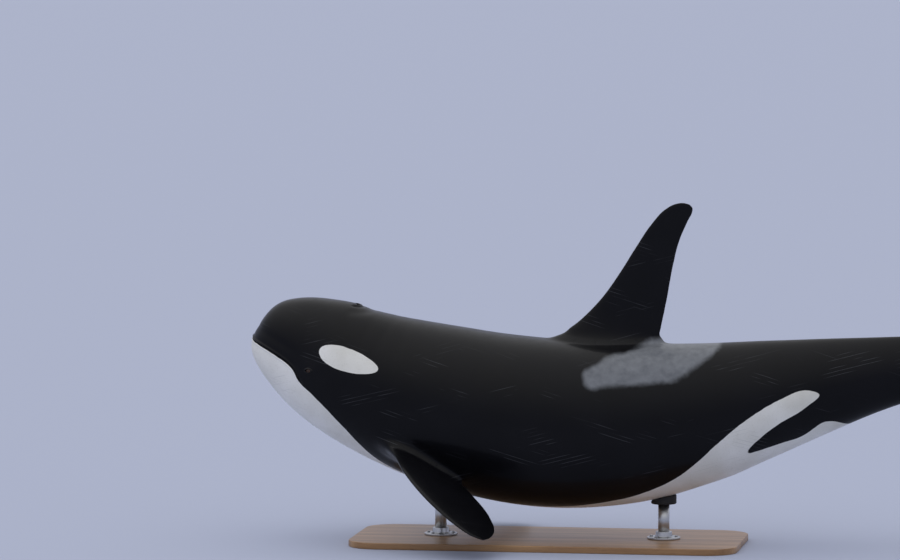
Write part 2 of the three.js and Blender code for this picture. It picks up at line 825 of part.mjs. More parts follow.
for (const [name, at] of Object.entries(rodAt)) {
  const belly = place(at, 0, section(at).bottom);
  const padFoot = belly.z - pad.under;
  const { radius, edge } = pad;
  const cup = turned(
    [
      [0, padFoot],
      [radius - edge, padFoot],
      [radius, padFoot + edge],
      [radius, padFoot + 2 * radius],
      [0, padFoot + 2 * radius],
    ],
    belly.x,
  );
  const post = turned(
    [
      [0, floorTop],
      [rod.radius, floorTop],
      [rod.radius, padFoot - gap],
      [0, padFoot - gap],
    ],
    belly.x,
  );
  addNode(`stand_rod_${name}`, "rod_steel", post);
  addNode(`stand_flange_${name}`, "rod_steel", standFlange(belly.x));
  const cutCup = cup.subtract(bodyGrown).decompose();
  const below = cutCup.filter((piece) => piece.boundingBox().min[2] < padFoot + 1);
  addNode(`stand_pad_${name}`, "pad_rubber", below[0]);
}

export default orca;
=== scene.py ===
"""A young male orca with his head lifted: a life-size museum model on a plain display stand."""
import math
from functools import partial

import bmesh
import bpy
import numpy as np
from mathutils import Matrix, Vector
from mathutils.bvhtree import BVHTree
from mathutils.kdtree import KDTree


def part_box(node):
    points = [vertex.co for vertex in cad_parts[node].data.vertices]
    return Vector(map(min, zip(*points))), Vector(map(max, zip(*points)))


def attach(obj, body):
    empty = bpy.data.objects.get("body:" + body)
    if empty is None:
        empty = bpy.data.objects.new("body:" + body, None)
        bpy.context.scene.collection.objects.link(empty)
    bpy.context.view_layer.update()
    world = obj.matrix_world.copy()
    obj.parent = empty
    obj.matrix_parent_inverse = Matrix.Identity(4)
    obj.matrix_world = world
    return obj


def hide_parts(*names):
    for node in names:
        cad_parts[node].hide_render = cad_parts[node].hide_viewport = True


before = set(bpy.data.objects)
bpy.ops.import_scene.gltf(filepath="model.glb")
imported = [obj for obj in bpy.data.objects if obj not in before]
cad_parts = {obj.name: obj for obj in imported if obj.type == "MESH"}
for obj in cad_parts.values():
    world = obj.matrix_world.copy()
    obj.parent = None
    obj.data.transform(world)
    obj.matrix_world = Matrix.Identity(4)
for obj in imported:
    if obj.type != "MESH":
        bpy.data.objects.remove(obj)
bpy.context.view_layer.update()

MM = 0.001

# Body: the solids' own driving sizes, in metres
LENGTH = 6.4  # along the spine, snout tip to the notch between the flukes
SPINE_HEIGHT = 0.915  # of the spine over the floor where it crosses the origin
BALANCE_AT = 0.377  # share of the length that stands over the origin
WIDEST_SHARE = 0.46  # where the section is widest, as a share of its height

# Share of the length, then top, bottom and side as shares of the length, then how full the section is
FORM = [
    (0, -0.004, -0.004, 0, 2.1),
    (0.01, 0.041, -0.026, 0.0265, 2.15),
    (0.035, 0.062, -0.0445, 0.0435, 2.2),
    (0.08, 0.077, -0.066, 0.059, 2.2),
    (0.15, 0.0845, -0.084, 0.076, 2.1),
    (0.27, 0.098, -0.098, 0.091, 2.1),
    (0.4, 0.104, -0.098, 0.09, 2.1),
    (0.52, 0.096, -0.086, 0.074, 2.0),
    (0.64, 0.077, -0.064, 0.052, 1.85),
    (0.76, 0.053, -0.042, 0.031, 1.7),
    (0.88, 0.032, -0.026, 0.0165, 1.6),
    (0.95, 0.019, -0.016, 0.0125, 1.8),
    (1, 0.004, -0.004, 0.004, 2),
]
# Share of the length, and how steeply the spine points up towards the snout, in degrees
PITCH = [
    (0, 23), (0.1, 21), (0.2, 16.5), (0.3, 11.5), (0.4, 3), (0.5, -7), (0.6, -13),
    (0.72, -14), (0.86, -9), (1, -1),
]

# Lines and outlines on the side of the body, as shares of the length: along, and up from the spine.
# The saddle and the belly band lie where the solids have them, with softer outlines.
MOUTH_LINE = [
    (0, -0.004), (0.004, -0.0052), (0.012, -0.0055), (0.035, -0.0065), (0.056, -0.0095),
    (0.069, -0.0145), (0.077, -0.0215),
]
THROAT_LINE = [
    (0.077, -0.0215), (0.1, -0.031), (0.13, -0.045), (0.155, -0.061), (0.18, -0.078),
    (0.2, -0.092),
]
FLANK_PATCH = [
    (0.475, -0.0905), (0.51, -0.0735), (0.55, -0.0505), (0.59, -0.0255), (0.63, -0.0065),
    (0.668, 0.0045), (0.7, 0.0065), (0.711, -0.001), (0.692, -0.0125), (0.655, -0.0245),
    (0.622, -0.0405), (0.6, -0.057), (0.588, -0.08), (0.53, -0.11),
]
SADDLE_PATCH = [
    (0.545, 0.13), (0.516, 0.104), (0.489, 0.0925), (0.447, 0.083), (0.426, 0.0715),
    (0.43, 0.061), (0.47, 0.056), (0.52, 0.0525), (0.556, 0.0565), (0.588, 0.0685),
    (0.606, 0.0855), (0.6, 0.12),
]
# Share of the length, and half width of the white belly
BELLY_BAND = [
    (0.13, 0.0565), (0.15, 0.0572), (0.17, 0.0505), (0.2, 0.0365), (0.24, 0.025),
    (0.3, 0.022), (0.38, 0.027), (0.46, 0.039), (0.53, 0.045), (0.6, 0.038), (0.67, 0.024),
    (0.73, 0.009), (0.738, -0.004),
]
EYE_PATCH = {"at": 0.128, "height": 0.0235, "length": 0.078, "depth": 0.027, "tilt": 4, "taper": 0.18}
BLACK_LIP = 7 * MM  # between the mouth's line and the white of the chin
# The white under the flukes: where it starts, and its distance from the edges, the tips and the middle
FLUKE_WHITE = {"from": 0.89, "edge": 55 * MM, "tip": 30 * MM, "middle": 45 * MM}
TOOTH_SPACING = 28.56 * MM  # of the teeth that leave rake marks

EYE = {"at": 0.086, "height": -0.007, "ball": 34 * MM, "sunk": 34.5 * MM, "mound": 7 * MM, "lean": 9}
# Outline of the opening between the lids, in millimetres: towards the tail, and up
EYE_OPENING = [
    (-25, -4), (-14, 6), (-1, 11), (13, 9), (25, 1), (12, -8), (-2, -11), (-14, -9.5),
]
BLOWHOLE = {"at": 0.101, "aside": -12 * MM, "radius": 54 * MM, "plug": 60 * MM, "plug_ahead": 30 * MM}

# Fins: rows of (along, across) from the root, in metres unless they are shares
FIN_FOOT = {"at": 0.3735, "sunk": 0.062}
FIN_LEAD = [
    (-0.06, -0.06), (0.045, 0.084), (0.2, 0.206), (0.38, 0.393), (0.512, 0.58),
    (0.628, 0.766), (0.752, 0.952), (0.857, 1.067), (0.93, 1.108), (1.0, 1.119),
]
FIN_TRAIL = [
    (0.8, -0.19), (0.808, 0.02), (0.82, 0.115), (0.857, 0.301), (0.893, 0.487),
    (0.927, 0.673), (0.978, 0.859), (1.03, 0.975), (1.066, 1.045), (1.069, 1.08),
]
FIN_TIP = (1.046, 1.108)
FIN_THICK = {"root": 0.054, "tip": 0.017, "flare": 0.1, "over": 0.32}

FLIPPER_ROOT = {"at": 0.222, "height": -0.058, "inset": 0.12}
FLIPPER_AIM = {"back": 42, "down": 25, "twist": 14}
FLIPPER_LEAD = [
    (-0.06, 0.19), (0.15, 0.2), (0.38, 0.262), (0.64, 0.288), (0.88, 0.262), (1.08, 0.19),
    (1.21, 0.09),
]
FLIPPER_TRAIL = [
    (-0.06, -0.205), (0.15, -0.215), (0.38, -0.275), (0.64, -0.312), (0.88, -0.3),
    (1.08, -0.225), (1.2, -0.11),
]
FLIPPER_TIP = (1.248, -0.015)
FLIPPER_THICK = {"root": 0.066, "tip": 0.017, "flare": 0.07, "over": 0.26}
FLIPPER_DROOP = 0.07

FLUKE_LEAD = [
    (0.872, 0), (0.889, 0.066), (0.905, 0.116), (0.921, 0.188), (0.938, 0.296),
    (0.958, 0.456), (0.979, 0.64), (0.998, 0.79), (1.013, 0.876),
]
FLUKE_TRAIL = [
    (0.998, 0), (1.0105, 0.05), (1.0185, 0.17), (1.018, 0.37), (1.016, 0.59),
    (1.0185, 0.765), (1.0245, 0.868),
]
FLUKE_TIP = (1.0275, 0.912)
FLUKE_THICK = {"root": 0.062, "tip": 0.013, "flare": 0.06, "over": 0.26}
FLUKE_HEIGHT = 0.001
FLUKE_DROOP = 0.12
# How the fins' roots are softened, and the shares of the length where that fades out before the notch
SOFTENED = {"reach": 0.13, "rounds": 120, "step": 0.6, "fades": (0.955, 0.98)}

# Stand: the base's corners, then the steel parts and the pads, as the solids have them
BASE = {"corner": 0.24, "edge": 8 * MM}
FLANGE = {"thick": 0.016, "sleeve": 0.062}
BOLTS = {"count": 6, "circle": 0.097, "radius": 0.012, "high": 0.011}
PAD = {"edge": 12 * MM, "sides": 96, "clear": 0.5 * MM}
PAD_RINGS = (0, 1.5, 4, 8, 12, 20, 35, 50, 65, 80, 93)  # of its top, in millimetres from its rim
BOARD = 125 * MM  # width of an oak board

# The photo's camera: a long lens, a little ahead of the animal's side
PHOTO = {"width": 900, "height": 560, "per_metre": 130, "snout_x": 252, "level_y": 380}
LEVEL_HEIGHT = 1.54  # over this floor, of what is at the photo's level_y in the plane of the spine
STAND_SHIFT = 36  # pixels that the picture moves up to take in the stand
CAMERA = {"azimuth": 9, "elevation": 4.5, "distance": 45}
# An overcast sky, with a broad glow high over the animal's back
SKY = {"horizon": "#a3a9c0", "top": "#ffffff", "glow": 0.5, "glow_power": 6, "glow_from": (-0.35, -0.1, 0.93)}
FLOOR = {"radius": 700, "colour": "#aab1c7"}

# How fine the meshes are
COLUMNS = {"below": 72, "above": 176}  # of half a ring, below and above the mouth's line
FOIL = {"sides": 96, "leaner_behind": 0.62}  # the section of a fin
UNEVEN = {"high": 1.6 * MM, "size": 0.7, "seed": 5}  # the skin's broad, slight swells


# Curves and outlines
def curve(rows):
    """A smooth curve through rows. The first number of a row is where it stands, the rest are its values."""
    rows = np.array(rows, float)
    stops, values = rows[:, 0], rows[:, 1:]
    width = np.diff(stops)
    rise = np.diff(values, axis=0) / width[:, None]
    inner = (rise[:-1] * width[1:, None] + rise[1:] * width[:-1, None]) / (width[1:] + width[:-1])[:, None]
    slope = np.vstack([rise[:1], inner, rise[-1:]])

    def read(at):
        at = np.asarray(at, float)
        i = np.clip(np.searchsorted(stops, at) - 1, 0, len(width) - 1)
        t = np.clip((at - stops[i]) / width[i], 0, 1)[..., None]
        step = width[i][..., None]
        start = 2 * t**3 - 3 * t**2 + 1
        bend = (t**3 - 2 * t**2 + t) * step * slope[i] + (t**3 - t**2) * step * slope[i + 1]
        return start * values[i] + (1 - start) * values[i + 1] + bend

    return read


def line(points):
    """The same for the points of a line, read from 0 to 1."""
    points = np.array(points, float)
    run = np.concatenate([[0], np.cumsum(np.linalg.norm(np.diff(points, axis=0), axis=1))])
    read = curve(np.column_stack([run, points]))
    return lambda t: read(np.asarray(t) * run[-1])


def smooth(low, high, value):
    """0 below low, 1 above high, and a soft step between."""
    t = np.clip((value - low) / (high - low), 0, 1)
    return t * t * (3 - 2 * t)


def hill(distance, width):
    """A soft bump, 1 in its middle."""
    return np.exp(-((distance / width) ** 2))


def leaning(along, up, degrees):
    """The same distances along and up, measured from a line that leans up by these degrees."""
    lean = math.radians(degrees)
    return along * math.cos(lean) + up * math.sin(lean), up * math.cos(lean) - along * math.sin(lean)


def rounded(points, between=8):
    """A closed outline with smooth stretches between its points."""
    points = np.array(points, float)
    made = []
    for i in range(len(points)):
        four = np.roll(points, 1 - i, axis=0)[:4]
        spans = np.linalg.norm(np.diff(four, axis=0), axis=1)
        t = (spans[0] + spans[1] * np.arange(between) / between) / spans.sum()
        made.append(line(four)(t))
    return np.vstack(made)


def inside_distance(outline, x, y):
    """Distance to an outline, more than 0 inside it."""
    best = np.full(len(x), 1e9)
    inside = np.zeros(len(x), bool)
    for (ax, ay), (bx, by) in zip(outline, np.roll(outline, -1, axis=0)):
        run_x, run_y = bx - ax, by - ay
        t = np.clip(((x - ax) * run_x + (y - ay) * run_y) / (run_x**2 + run_y**2), 0, 1)
        best = np.minimum(best, np.hypot(x - ax - t * run_x, y - ay - t * run_y))
        crosses = (ay > y) != (by > y)
        with np.errstate(divide="ignore", invalid="ignore"):
            cut = ax + (y - ay) * run_x / run_y
        inside ^= crosses & (x < cut)
    return np.where(inside, best, -best)


def circle(count):
    """Points evenly round a circle with a radius of 1."""
    turn = np.arange(count) / count * 2 * math.pi
    return np.stack([np.cos(turn), np.sin(turn)], -1)


def waves(points, size, seed):
    """Smooth unevenness between about -1 and 1, made of a few slow waves."""
    draw = np.random.default_rng(seed)
    total = np.zeros(len(points))
    for _ in range(7):
        way = draw.normal(size=3)
        way *= 2 * math.pi / (size * draw.uniform(0.7, 1.6)) / np.linalg.norm(way)
        total += np.sin(points @ way + draw.uniform(0, 2 * math.pi))
    return total / 4


# Spine: walked in small steps from its pitch
pitch_at = curve(PITCH)
SPINE_STEPS = 500
SPINE_ENDS = (-0.03, 1.06)


def walk_spine():
    """Stations along the spine, as shares of the length, and where each is in the side view."""
    stops = np.linspace(*SPINE_ENDS, SPINE_STEPS + 1)
    lean = np.radians(pitch_at((stops[1:] + stops[:-1]) / 2)[:, 0])
    step = (stops[1] - stops[0]) * LENGTH
    x = np.concatenate([[0], np.cumsum(step * np.cos(lean))])
    z = np.concatenate([[0], np.cumsum(-step * np.sin(lean))])
    x -= np.interp(BALANCE_AT, stops, x)
    z += SPINE_HEIGHT - np.interp(BALANCE_AT, stops, z)
    return stops, x, z


spine_at, spine_x, spine_z = walk_spine()


def place(at, y, height):
    """Points of the animal: at along the spine, y to its right, and height above the spine line."""
    at, y, height = np.broadcast_arrays(*(np.asarray(v, float) for v in (at, y, height)))
    lean = np.radians(pitch_at(at)[..., 0])
    x = np.interp(at, spine_at, spine_x) + height * np.sin(lean)
    z = np.interp(at, spine_at, spine_z) + height * np.cos(lean)
    return np.stack([x, y, z], -1)


def unplace(points):
    """Where points lie along the spine, and their height above it."""
    x, z = points[:, 0], points[:, 2]
    at = np.interp(x, spine_x, spine_at)
    for _ in range(8):
        lean = np.radians(pitch_at(at)[:, 0])
        dx = x - np.interp(at, spine_at, spine_x)
        dz = z - np.interp(at, spine_at, spine_z)
        at = at + (dx * np.cos(lean) - dz * np.sin(lean)) / LENGTH
    return at, dx * np.sin(lean) + dz * np.cos(lean)


# Section of the body
size_at = curve([(math.sqrt(row[0]), *row[1:]) for row in FORM])


def section(at):
    """Top, bottom, side, fullness and widest height of the body at a station."""
    sizes = size_at(np.sqrt(np.asarray(at, float)))
    top, bottom, side = (sizes[..., k] * LENGTH for k in range(3))
    return top, bottom, side, sizes[..., 3], bottom + (top - bottom) * WIDEST_SHARE


def bulge(value, full):
    """A cosine or sine of the angle round a section, made fuller or leaner."""
    return np.sign(value) * np.abs(value) ** (2 / full)


def side_of(at, height):
    """Half the body's width at a station and a height."""
    top, bottom, side, full, widest = section(at)
    reach = np.where(height > widest, top - widest, widest - bottom)
    share = np.minimum(np.abs(height - widest) / reach, 1)
    return side * (1 - share**full) ** (1 / full)


def around_section(sizes, turn):
    """Points at these angles round a section: how far aside they are, and how high."""
    top, bottom, side, full, widest = sizes
    reach = np.where(turn > 0, top - widest, widest - bottom)
    return side * bulge(np.cos(turn), full), widest + reach * bulge(np.sin(turn), full)


def line_on_side(points):
    """The height of a line on the side of the body, from its points in shares of the length."""
    return curve([(at, height * LENGTH) for at, height in points])


def above_line(line_height, at, height):
    """How far points are above a line on the side of the body."""
    step = 0.001
    slope = (line_height(at + step) - line_height(at - step))[:, 0] / (2 * step * LENGTH)
    return (height - line_height(at)[:, 0]) / np.hypot(1, slope)


mouth_height = line_on_side(MOUTH_LINE)
MOUTH_END = MOUTH_LINE[-1][0]


# Where the body's mesh has its points
def guide_turn(at):
    """The angle round the section that the columns gather at: along the mouth, and level behind it."""
    stop = max(min(at, MOUTH_END), 0.002)
    _, bottom, _, full, widest = section(stop)
    height = mouth_height(stop)[0]
    share = min(abs(height - widest) / (widest - bottom), 0.95)
    return math.copysign(math.asin(share ** (full / 2)), height - widest)


def ring_turns(at):
    """Angles from the bottom to the top of half a section, closer at the mouth, eye and blowhole."""
    turn = np.linspace(-math.pi / 2, math.pi / 2, 481)
    y, height = around_section(section(at), turn)
    run = np.concatenate([[0], np.cumsum(np.hypot(np.diff(y), np.diff(height)))])
    guide = guide_turn(at)
    from_mouth = run - np.interp(guide, turn, run)
    on_head = 1 - smooth(0.1, 0.17, at)
    by_blowhole = hill(at - BLOWHOLE["at"], 0.02)
    by_eye = hill((at - EYE["at"]) * LENGTH, 80 * MM)
    # How many more columns each form takes, the distance from it, and how wide it is
    forms = (
        (5 * on_head, from_mouth, 22 * MM),
        (2 * on_head, from_mouth, 75 * MM),
        (5 * by_blowhole, run[-1] - run, 80 * MM),
        (5 * by_eye, height - EYE["height"] * LENGTH, 50 * MM),
    )
    density = 1 + sum(more * hill(distance, wide) for more, distance, wide in forms)
    count = np.concatenate([[0], np.cumsum((density[1:] + density[:-1]) / 2 * np.diff(run))])
    middle = np.interp(guide, turn, count)
    below = np.interp(np.linspace(0, middle, COLUMNS["below"] + 1), count, turn)
    above = np.interp(np.linspace(middle, count[-1], COLUMNS["above"] + 1), count, turn)
    return np.concatenate([below, above[1:]])


def ring_stations():
    """Stations along the body: 4 mm apart or less on the head, and 16 mm apart behind it."""
    at = np.linspace(0.004, 1, 6000) ** 2
    top, bottom = section(at)[:2]
    middle = (EYE["at"] + BLOWHOLE["at"]) / 2
    steps = np.hypot(np.diff(at) * LENGTH, np.diff(top - bottom) / 2)
    spacing = 4 * MM + 12 * MM * smooth(0.11, 0.22, at[1:])
    spacing -= 2.2 * MM * hill((at[1:] - middle) * LENGTH, 120 * MM)
    count = np.concatenate([[0], np.cumsum(steps / spacing)])
    return np.interp(np.linspace(0, count[-1], int(count[-1]) + 1), count, at)


# Details of the head and belly, each a distance in or out of the skin at points along, aside and up.
# In a hill, the second number is its half width.
def mouth_form(at, y, height):
    """The mouth's line, with the lips that roll over it and the fold behind its corner."""
    off = above_line(mouth_height, at, height)
    behind = np.maximum(at - MOUTH_END, 0) * LENGTH
    along = hill(behind, 12 * MM)
    front = 1 - smooth(0.012, 0.05, at)
    groove = -15 * MM * hill(off, 3.4 * MM)
    upper = (4.5 + 3 * front) * MM * hill(off - 13 * MM, 9 * MM)
    lower = 4 * MM * hill(off + 12 * MM, 8 * MM)
    beak = -3.5 * MM * hill(off - 100 * MM, 34 * MM) * (1 - smooth(0.045, 0.075, at))
    form = along * (groove + upper + lower) + beak
    # The fold runs down and back from the mouth's corner, with a soft cheek above it
    dx = (at - MOUTH_END) * LENGTH
    dz = height - mouth_height(MOUTH_END)[0]
    fold = dx * 0.45 + dz * 0.9
    reach = dx * 0.9 - dz * 0.45
    ends = smooth(-10 * MM, 10 * MM, reach) * (1 - smooth(30 * MM, 75 * MM, reach))
    form += -5 * MM * hill(fold, 6 * MM) * ends
    form += 4 * MM * hill(fold - 22 * MM, 18 * MM) * hill(reach - 30 * MM, 45 * MM)
    return form


def eye_form(at, y, height):
    """Lids round the eye's opening, the folds that follow them, and the low mound they lie on."""
    form = np.zeros(len(at))
    dx = (at - EYE["at"]) * LENGTH
    dz = height - EYE["height"] * LENGTH
    near = np.hypot(dx, dz) < 0.15
    along, up = leaning(dx[near], dz[near], EYE["lean"])
    away = -inside_distance(rounded(EYE_OPENING) * MM, along, up)
    turn = np.arctan2(up, along)
    over = smooth(-6 * MM, 6 * MM, up)
    corners = np.abs(np.cos(turn)) ** 3
    socket = -34 * MM * smooth(0, 5 * MM, -away)
    lid = (3.4 + 1.4 * over) * MM * hill(away - 4 * MM, 4.4 * MM)
    crease = -(1.8 + 0.9 * over) * MM * hill(away - 13 * MM - 2 * MM * over, 3 * MM) * (1 - 0.6 * corners)
    second = -1.3 * MM * hill(away - 24 * MM, 4 * MM) * (0.35 + 0.65 * over) * (1 - corners)
    rays = 0.35 * MM * np.sin(turn * 17 + 9 * np.sin(turn)) * hill(away - 15 * MM, 8 * MM) * corners
    mound = EYE["mound"] * hill(np.hypot(along, up), 65 * MM)
    form[near] = socket + lid + crease + second + rays + mound
    return form * (1 - smooth(0.12, 0.15, np.hypot(dx, dz)))


def blowhole_form(at, y, height):
    """The blowhole: a crescent open towards the snout, a little parted, in a low mound."""
    dx = (at - BLOWHOLE["at"]) * LENGTH
    dy = y - BLOWHOLE["aside"]
    reach = np.hypot(dx, dy)
    ahead = np.hypot(dx + BLOWHOLE["plug_ahead"], dy) - BLOWHOLE["plug"]
    ends = smooth(-0.35, 0.5, dx / BLOWHOLE["radius"])
    rear = smooth(-1 * MM, 9 * MM, BLOWHOLE["radius"] - reach)
    hole = -32 * MM * rear * smooth(-9 * MM, 14 * MM, ahead)
    plug = -5 * MM * hill(ahead, 14 * MM) * np.where(ahead < 0, 1, 0) * ends
    rim = 6 * MM * hill(reach - BLOWHOLE["radius"] - 9 * MM, 9 * MM) * ends
    behind = -3.5 * MM * hill(reach - BLOWHOLE["radius"] - 34 * MM, 11 * MM) * ends
    mound = 10 * MM * hill(reach, 0.12)
    dip = -5 * MM * hill(reach - 0.17, 0.05) * smooth(-0.04, 0.04, dx)
    return np.where(height > 0, hole + plug + rim + behind + mound + dip, 0)


def belly_form(at, y, height):
    """The navel and the slits of the belly's middle line, which a bull has too."""
    below = height < 0
    navel = -9 * MM * hill(y, 12 * MM) * hill((at - 0.455) * LENGTH, 32 * MM)
    slit = -12 * MM * hill(y, 9 * MM) * smooth(0.566, 0.572, at) * (1 - smooth(0.596, 0.602, at))
    swell = 7 * MM * hill(y, 50 * MM) * hill((at - 0.584) * LENGTH, 0.14)
    vent = -9 * MM * hill(y, 9 * MM) * hill((at - 0.622) * LENGTH, 20 * MM)
    return np.where(below, navel + slit + swell + vent, 0)


def neck_form(at, y, height):
    """Faint folds over the nape and throat, where the head is lifted."""
    form = np.zeros(len(at))
    for where, deep, wide in ((0.139, 0.8, 0.03), (0.156, 1.3, 0.036), (0.177, 0.8, 0.04)):
        wander = 0.005 * np.sin(y * 4 + where * 90)
        form -= deep * MM * hill((at - where - wander) * LENGTH, wide) * smooth(0.1, 0.45, height)
    for where, deep, wide in ((0.118, 1.6, 0.02), (0.14, 2.1, 0.024)):
        form -= deep * MM * hill((at - where) * LENGTH - y * y * 0.5, wide) * smooth(0.2, 0.45, -height)
    return form


# Meshes
def mesh_of(name, points, quads, others):
    """A mesh from arrays of points, four-sided faces and other faces, which are turned to face outwards."""
    mesh = bpy.data.meshes.new(name)
    mesh.from_pydata(points.tolist(), [], [*quads.tolist(), *(list(face) for face in others)])
    shape = bmesh.new()
    shape.from_mesh(mesh)
    bmesh.ops.recalc_face_normals(shape, faces=shape.faces)
    if shape.calc_volume(signed=True) < 0:
        bmesh.ops.reverse_faces(shape, faces=shape.faces)
    shape.to_mesh(mesh)
    shape.free()
    return mesh


def ring_faces(rings, count):
    """Four-sided faces between rings that have the same count of points."""
    here = np.arange(count)
    ahead = (here + 1) % count
    row = np.arange(rings - 1)[:, None] * count
    faces = np.stack([row + here, row + count + here, row + count + ahead, row + ahead], -1)
    return faces.reshape(-1, 4)


def closed(name, rings, ends):
    """A closed mesh through rings of points, with one point at each end."""
    rows, count = rings.shape[:2]
    here = np.arange(count)
    ahead = (here + 1) % count
    last = (rows - 1) * count
    first_fan = np.stack([np.full(count, rows * count), here, ahead], -1)
    last_fan = np.stack([last + here, np.full(count, rows * count + 1), last + ahead], -1)
    points = np.vstack([rings.reshape(-1, 3), *ends])
    return mesh_of(name, points, ring_faces(rows, count), np.vstack([first_fan, last_fan]))


def linked(name, mesh):
    """A piece of the scene, made of a mesh."""
    piece = bpy.data.objects.new(name, mesh)
    bpy.context.scene.collection.objects.link(piece)
    return piece


def values_of(items, name, width=1, kind=np.int32):
    """What a mesh holds for its points, edges or faces, as an array."""
    values = np.empty(len(items) * width, kind)
    items.foreach_get(name, values)
    return values.reshape(-1, width) if width > 1 else values


def add_values(mesh, name, values):
    """Keeps a number for each point of a mesh, which its material reads."""
    mesh.attributes.new(name, "FLOAT", "POINT").data.foreach_set("value", values.astype(np.float32))


# Body and fins
def body_mesh():
    """The body as one closed skin, with the head's and belly's details in it."""
    stations = ring_stations()
    half = COLUMNS["below"] + COLUMNS["above"]
    turns = np.array([ring_turns(at) for at in stations])
    turns = np.hstack([turns, turns[:, half - 1 : 0 : -1]])
    right = np.hstack([np.ones(half + 1), -np.ones(half - 1)])
    y, height = around_section([sizes[:, None] for sizes in section(stations)], turns)
    y = right * y
    at = np.broadcast_to(stations[:, None], y.shape)
    points = place(at, y, height)
    along = np.gradient(points, axis=0)
    around = np.roll(points, -1, axis=1) - np.roll(points, 1, axis=1)
    normal = np.cross(around, along)
    normal /= np.linalg.norm(normal, axis=-1, keepdims=True)
    flat = [v.ravel() for v in (at, y, height)]
    out = sum(form(*flat) for form in (mouth_form, eye_form, blowhole_form, belly_form, neck_form))
    out += UNEVEN["high"] * waves(points.reshape(-1, 3), UNEVEN["size"], UNEVEN["seed"])
    points = points + normal * out.reshape(*y.shape, 1)
    snout = place(0, 0, section(0.0)[4]) + np.array([4 * MM, 0, 0])
    tail = place(1.0, 0, section(1.0)[4])
    return closed("body", points, (snout, tail))


def blade(name, front, back, half_thickness, to_world, ends):
    """A fin: foil sections between the points of its front and back edges, and a point at each end."""
    cosine, sine = circle(FOIL["sides"]).T
    share = (1 - cosine) / 2
    flat = front[:, None, :] + (back - front)[:, None, :] * share[:, None]
    along, across = flat[..., 0], flat[..., 1]
    away = half_thickness(along, across) * sine * (1 - FOIL["leaner_behind"] * share)
    return closed(name, to_world(along, across, away), [to_world(*end, 0.0) for end in ends])


def fin_edges(lead, trail, tip, slices):
    """Points of the front and back edges, and how far along the fin they are. Slices gather at the tip."""
    t = np.sin(np.arange(slices) / slices * math.pi / 2)
    return line([*lead, tip])(t), line([*trail, tip])(t), t


def fin_thickness(t, sizes, over):
    """Half a fin's thickness: over is the height above the body, where a fillet widens it."""
    t = t[:, None]
    fillet = 1 - np.clip(over / sizes["over"], 0, 1)
    grow = sizes["flare"] * (1 - np.sqrt(1 - fillet**2))
    return (sizes["root"] + (sizes["tip"] - sizes["root"]) * t + grow) * np.sqrt(1 - t**6)


def uneven_edge(back, front, t, deep, seed):
    """The back edge of a fin, a little ragged, as skin there wears."""
    draw = np.random.default_rng(seed)
    push = sum(
        draw.uniform(0.5, 1) * np.sin(t * 2 * math.pi * count + draw.uniform(0, 6)) / math.sqrt(count)
        for count in (2.3, 5.1, 9.7, 17)
    )
    away = (back - front) / np.linalg.norm(back - front, axis=1, keepdims=True)
    return back + away * (push * deep * smooth(0.15, 0.3, t) * (1 - smooth(0.93, 1, t)))[:, None]


def dorsal_fin():
    """The tall fin, from inside the back to its tip."""
    foot = place(FIN_FOOT["at"], 0, section(FIN_FOOT["at"])[0] - FIN_FOOT["sunk"])
    front, back, t = fin_edges(FIN_LEAD, FIN_TRAIL, FIN_TIP, 150)
    back = uneven_edge(back, front, t, 2 * MM, 11)
    under = np.linspace(0.3, 0.6, 100)
    back_line = place(under, 0, section(under)[0])

    def half_thickness(aft, up):
        over = foot[2] + up - np.interp(foot[0] + aft, back_line[:, 0], back_line[:, 2])
        return fin_thickness(t, FIN_THICK, over + 0.015)

    def to_world(aft, up, away):
        return np.stack([foot[0] + aft, away, foot[2] + up], -1)

    ends = ((front[0] + back[0]) / 2, FIN_TIP)
    return blade("dorsal_fin", front, back, half_thickness, to_world, ends)


def flipper(side):
    """A flipper. Its side is 1 on the animal's right, and -1 on his left."""
    at, height, inset = FLIPPER_ROOT["at"], FLIPPER_ROOT["height"] * LENGTH, FLIPPER_ROOT["inset"]
    foot = Vector(place(at, side_of(at, height) - inset, height))
    back_turn, down, twist = (math.radians(FLIPPER_AIM[k]) for k in ("back", "down", "twist"))
    level = math.cos(down)
    out = Vector((math.sin(back_turn) * level, math.cos(back_turn) * level, -math.sin(down)))
    up = Vector((0, 0, 1))
    up = (up - out * up.dot(out)).normalized()
    up = up * math.cos(twist) + out.cross(up) * math.sin(twist)
    forward = up.cross(out)
    if forward.x > 0:
        forward = -forward
    front, back, t = fin_edges(FLIPPER_LEAD, FLIPPER_TRAIL, FLIPPER_TIP, 130)
    back = uneven_edge(back, front, t, 3.5 * MM, 23 if side > 0 else 29)
    foot, out, up, forward = (np.array(v) for v in (foot, out, up, forward))

    def half_thickness(reach, ahead):
        return fin_thickness(t, FLIPPER_THICK, reach + ahead * forward[1] / out[1] - inset)

    def to_world(reach, ahead, away):
        reach, ahead, away = np.broadcast_arrays(reach, ahead, away)
        bend = FLIPPER_DROOP * (np.maximum(reach, 0) / FLIPPER_TIP[0]) ** 2
        world = foot + reach[..., None] * out + ahead[..., None] * forward + (away - bend)[..., None] * up
        return world * np.array([1, side, 1])

    ends = ((front[0] + back[0]) / 2, FLIPPER_TIP)
    return blade("flipper", front, back, half_thickness, to_world, ends)


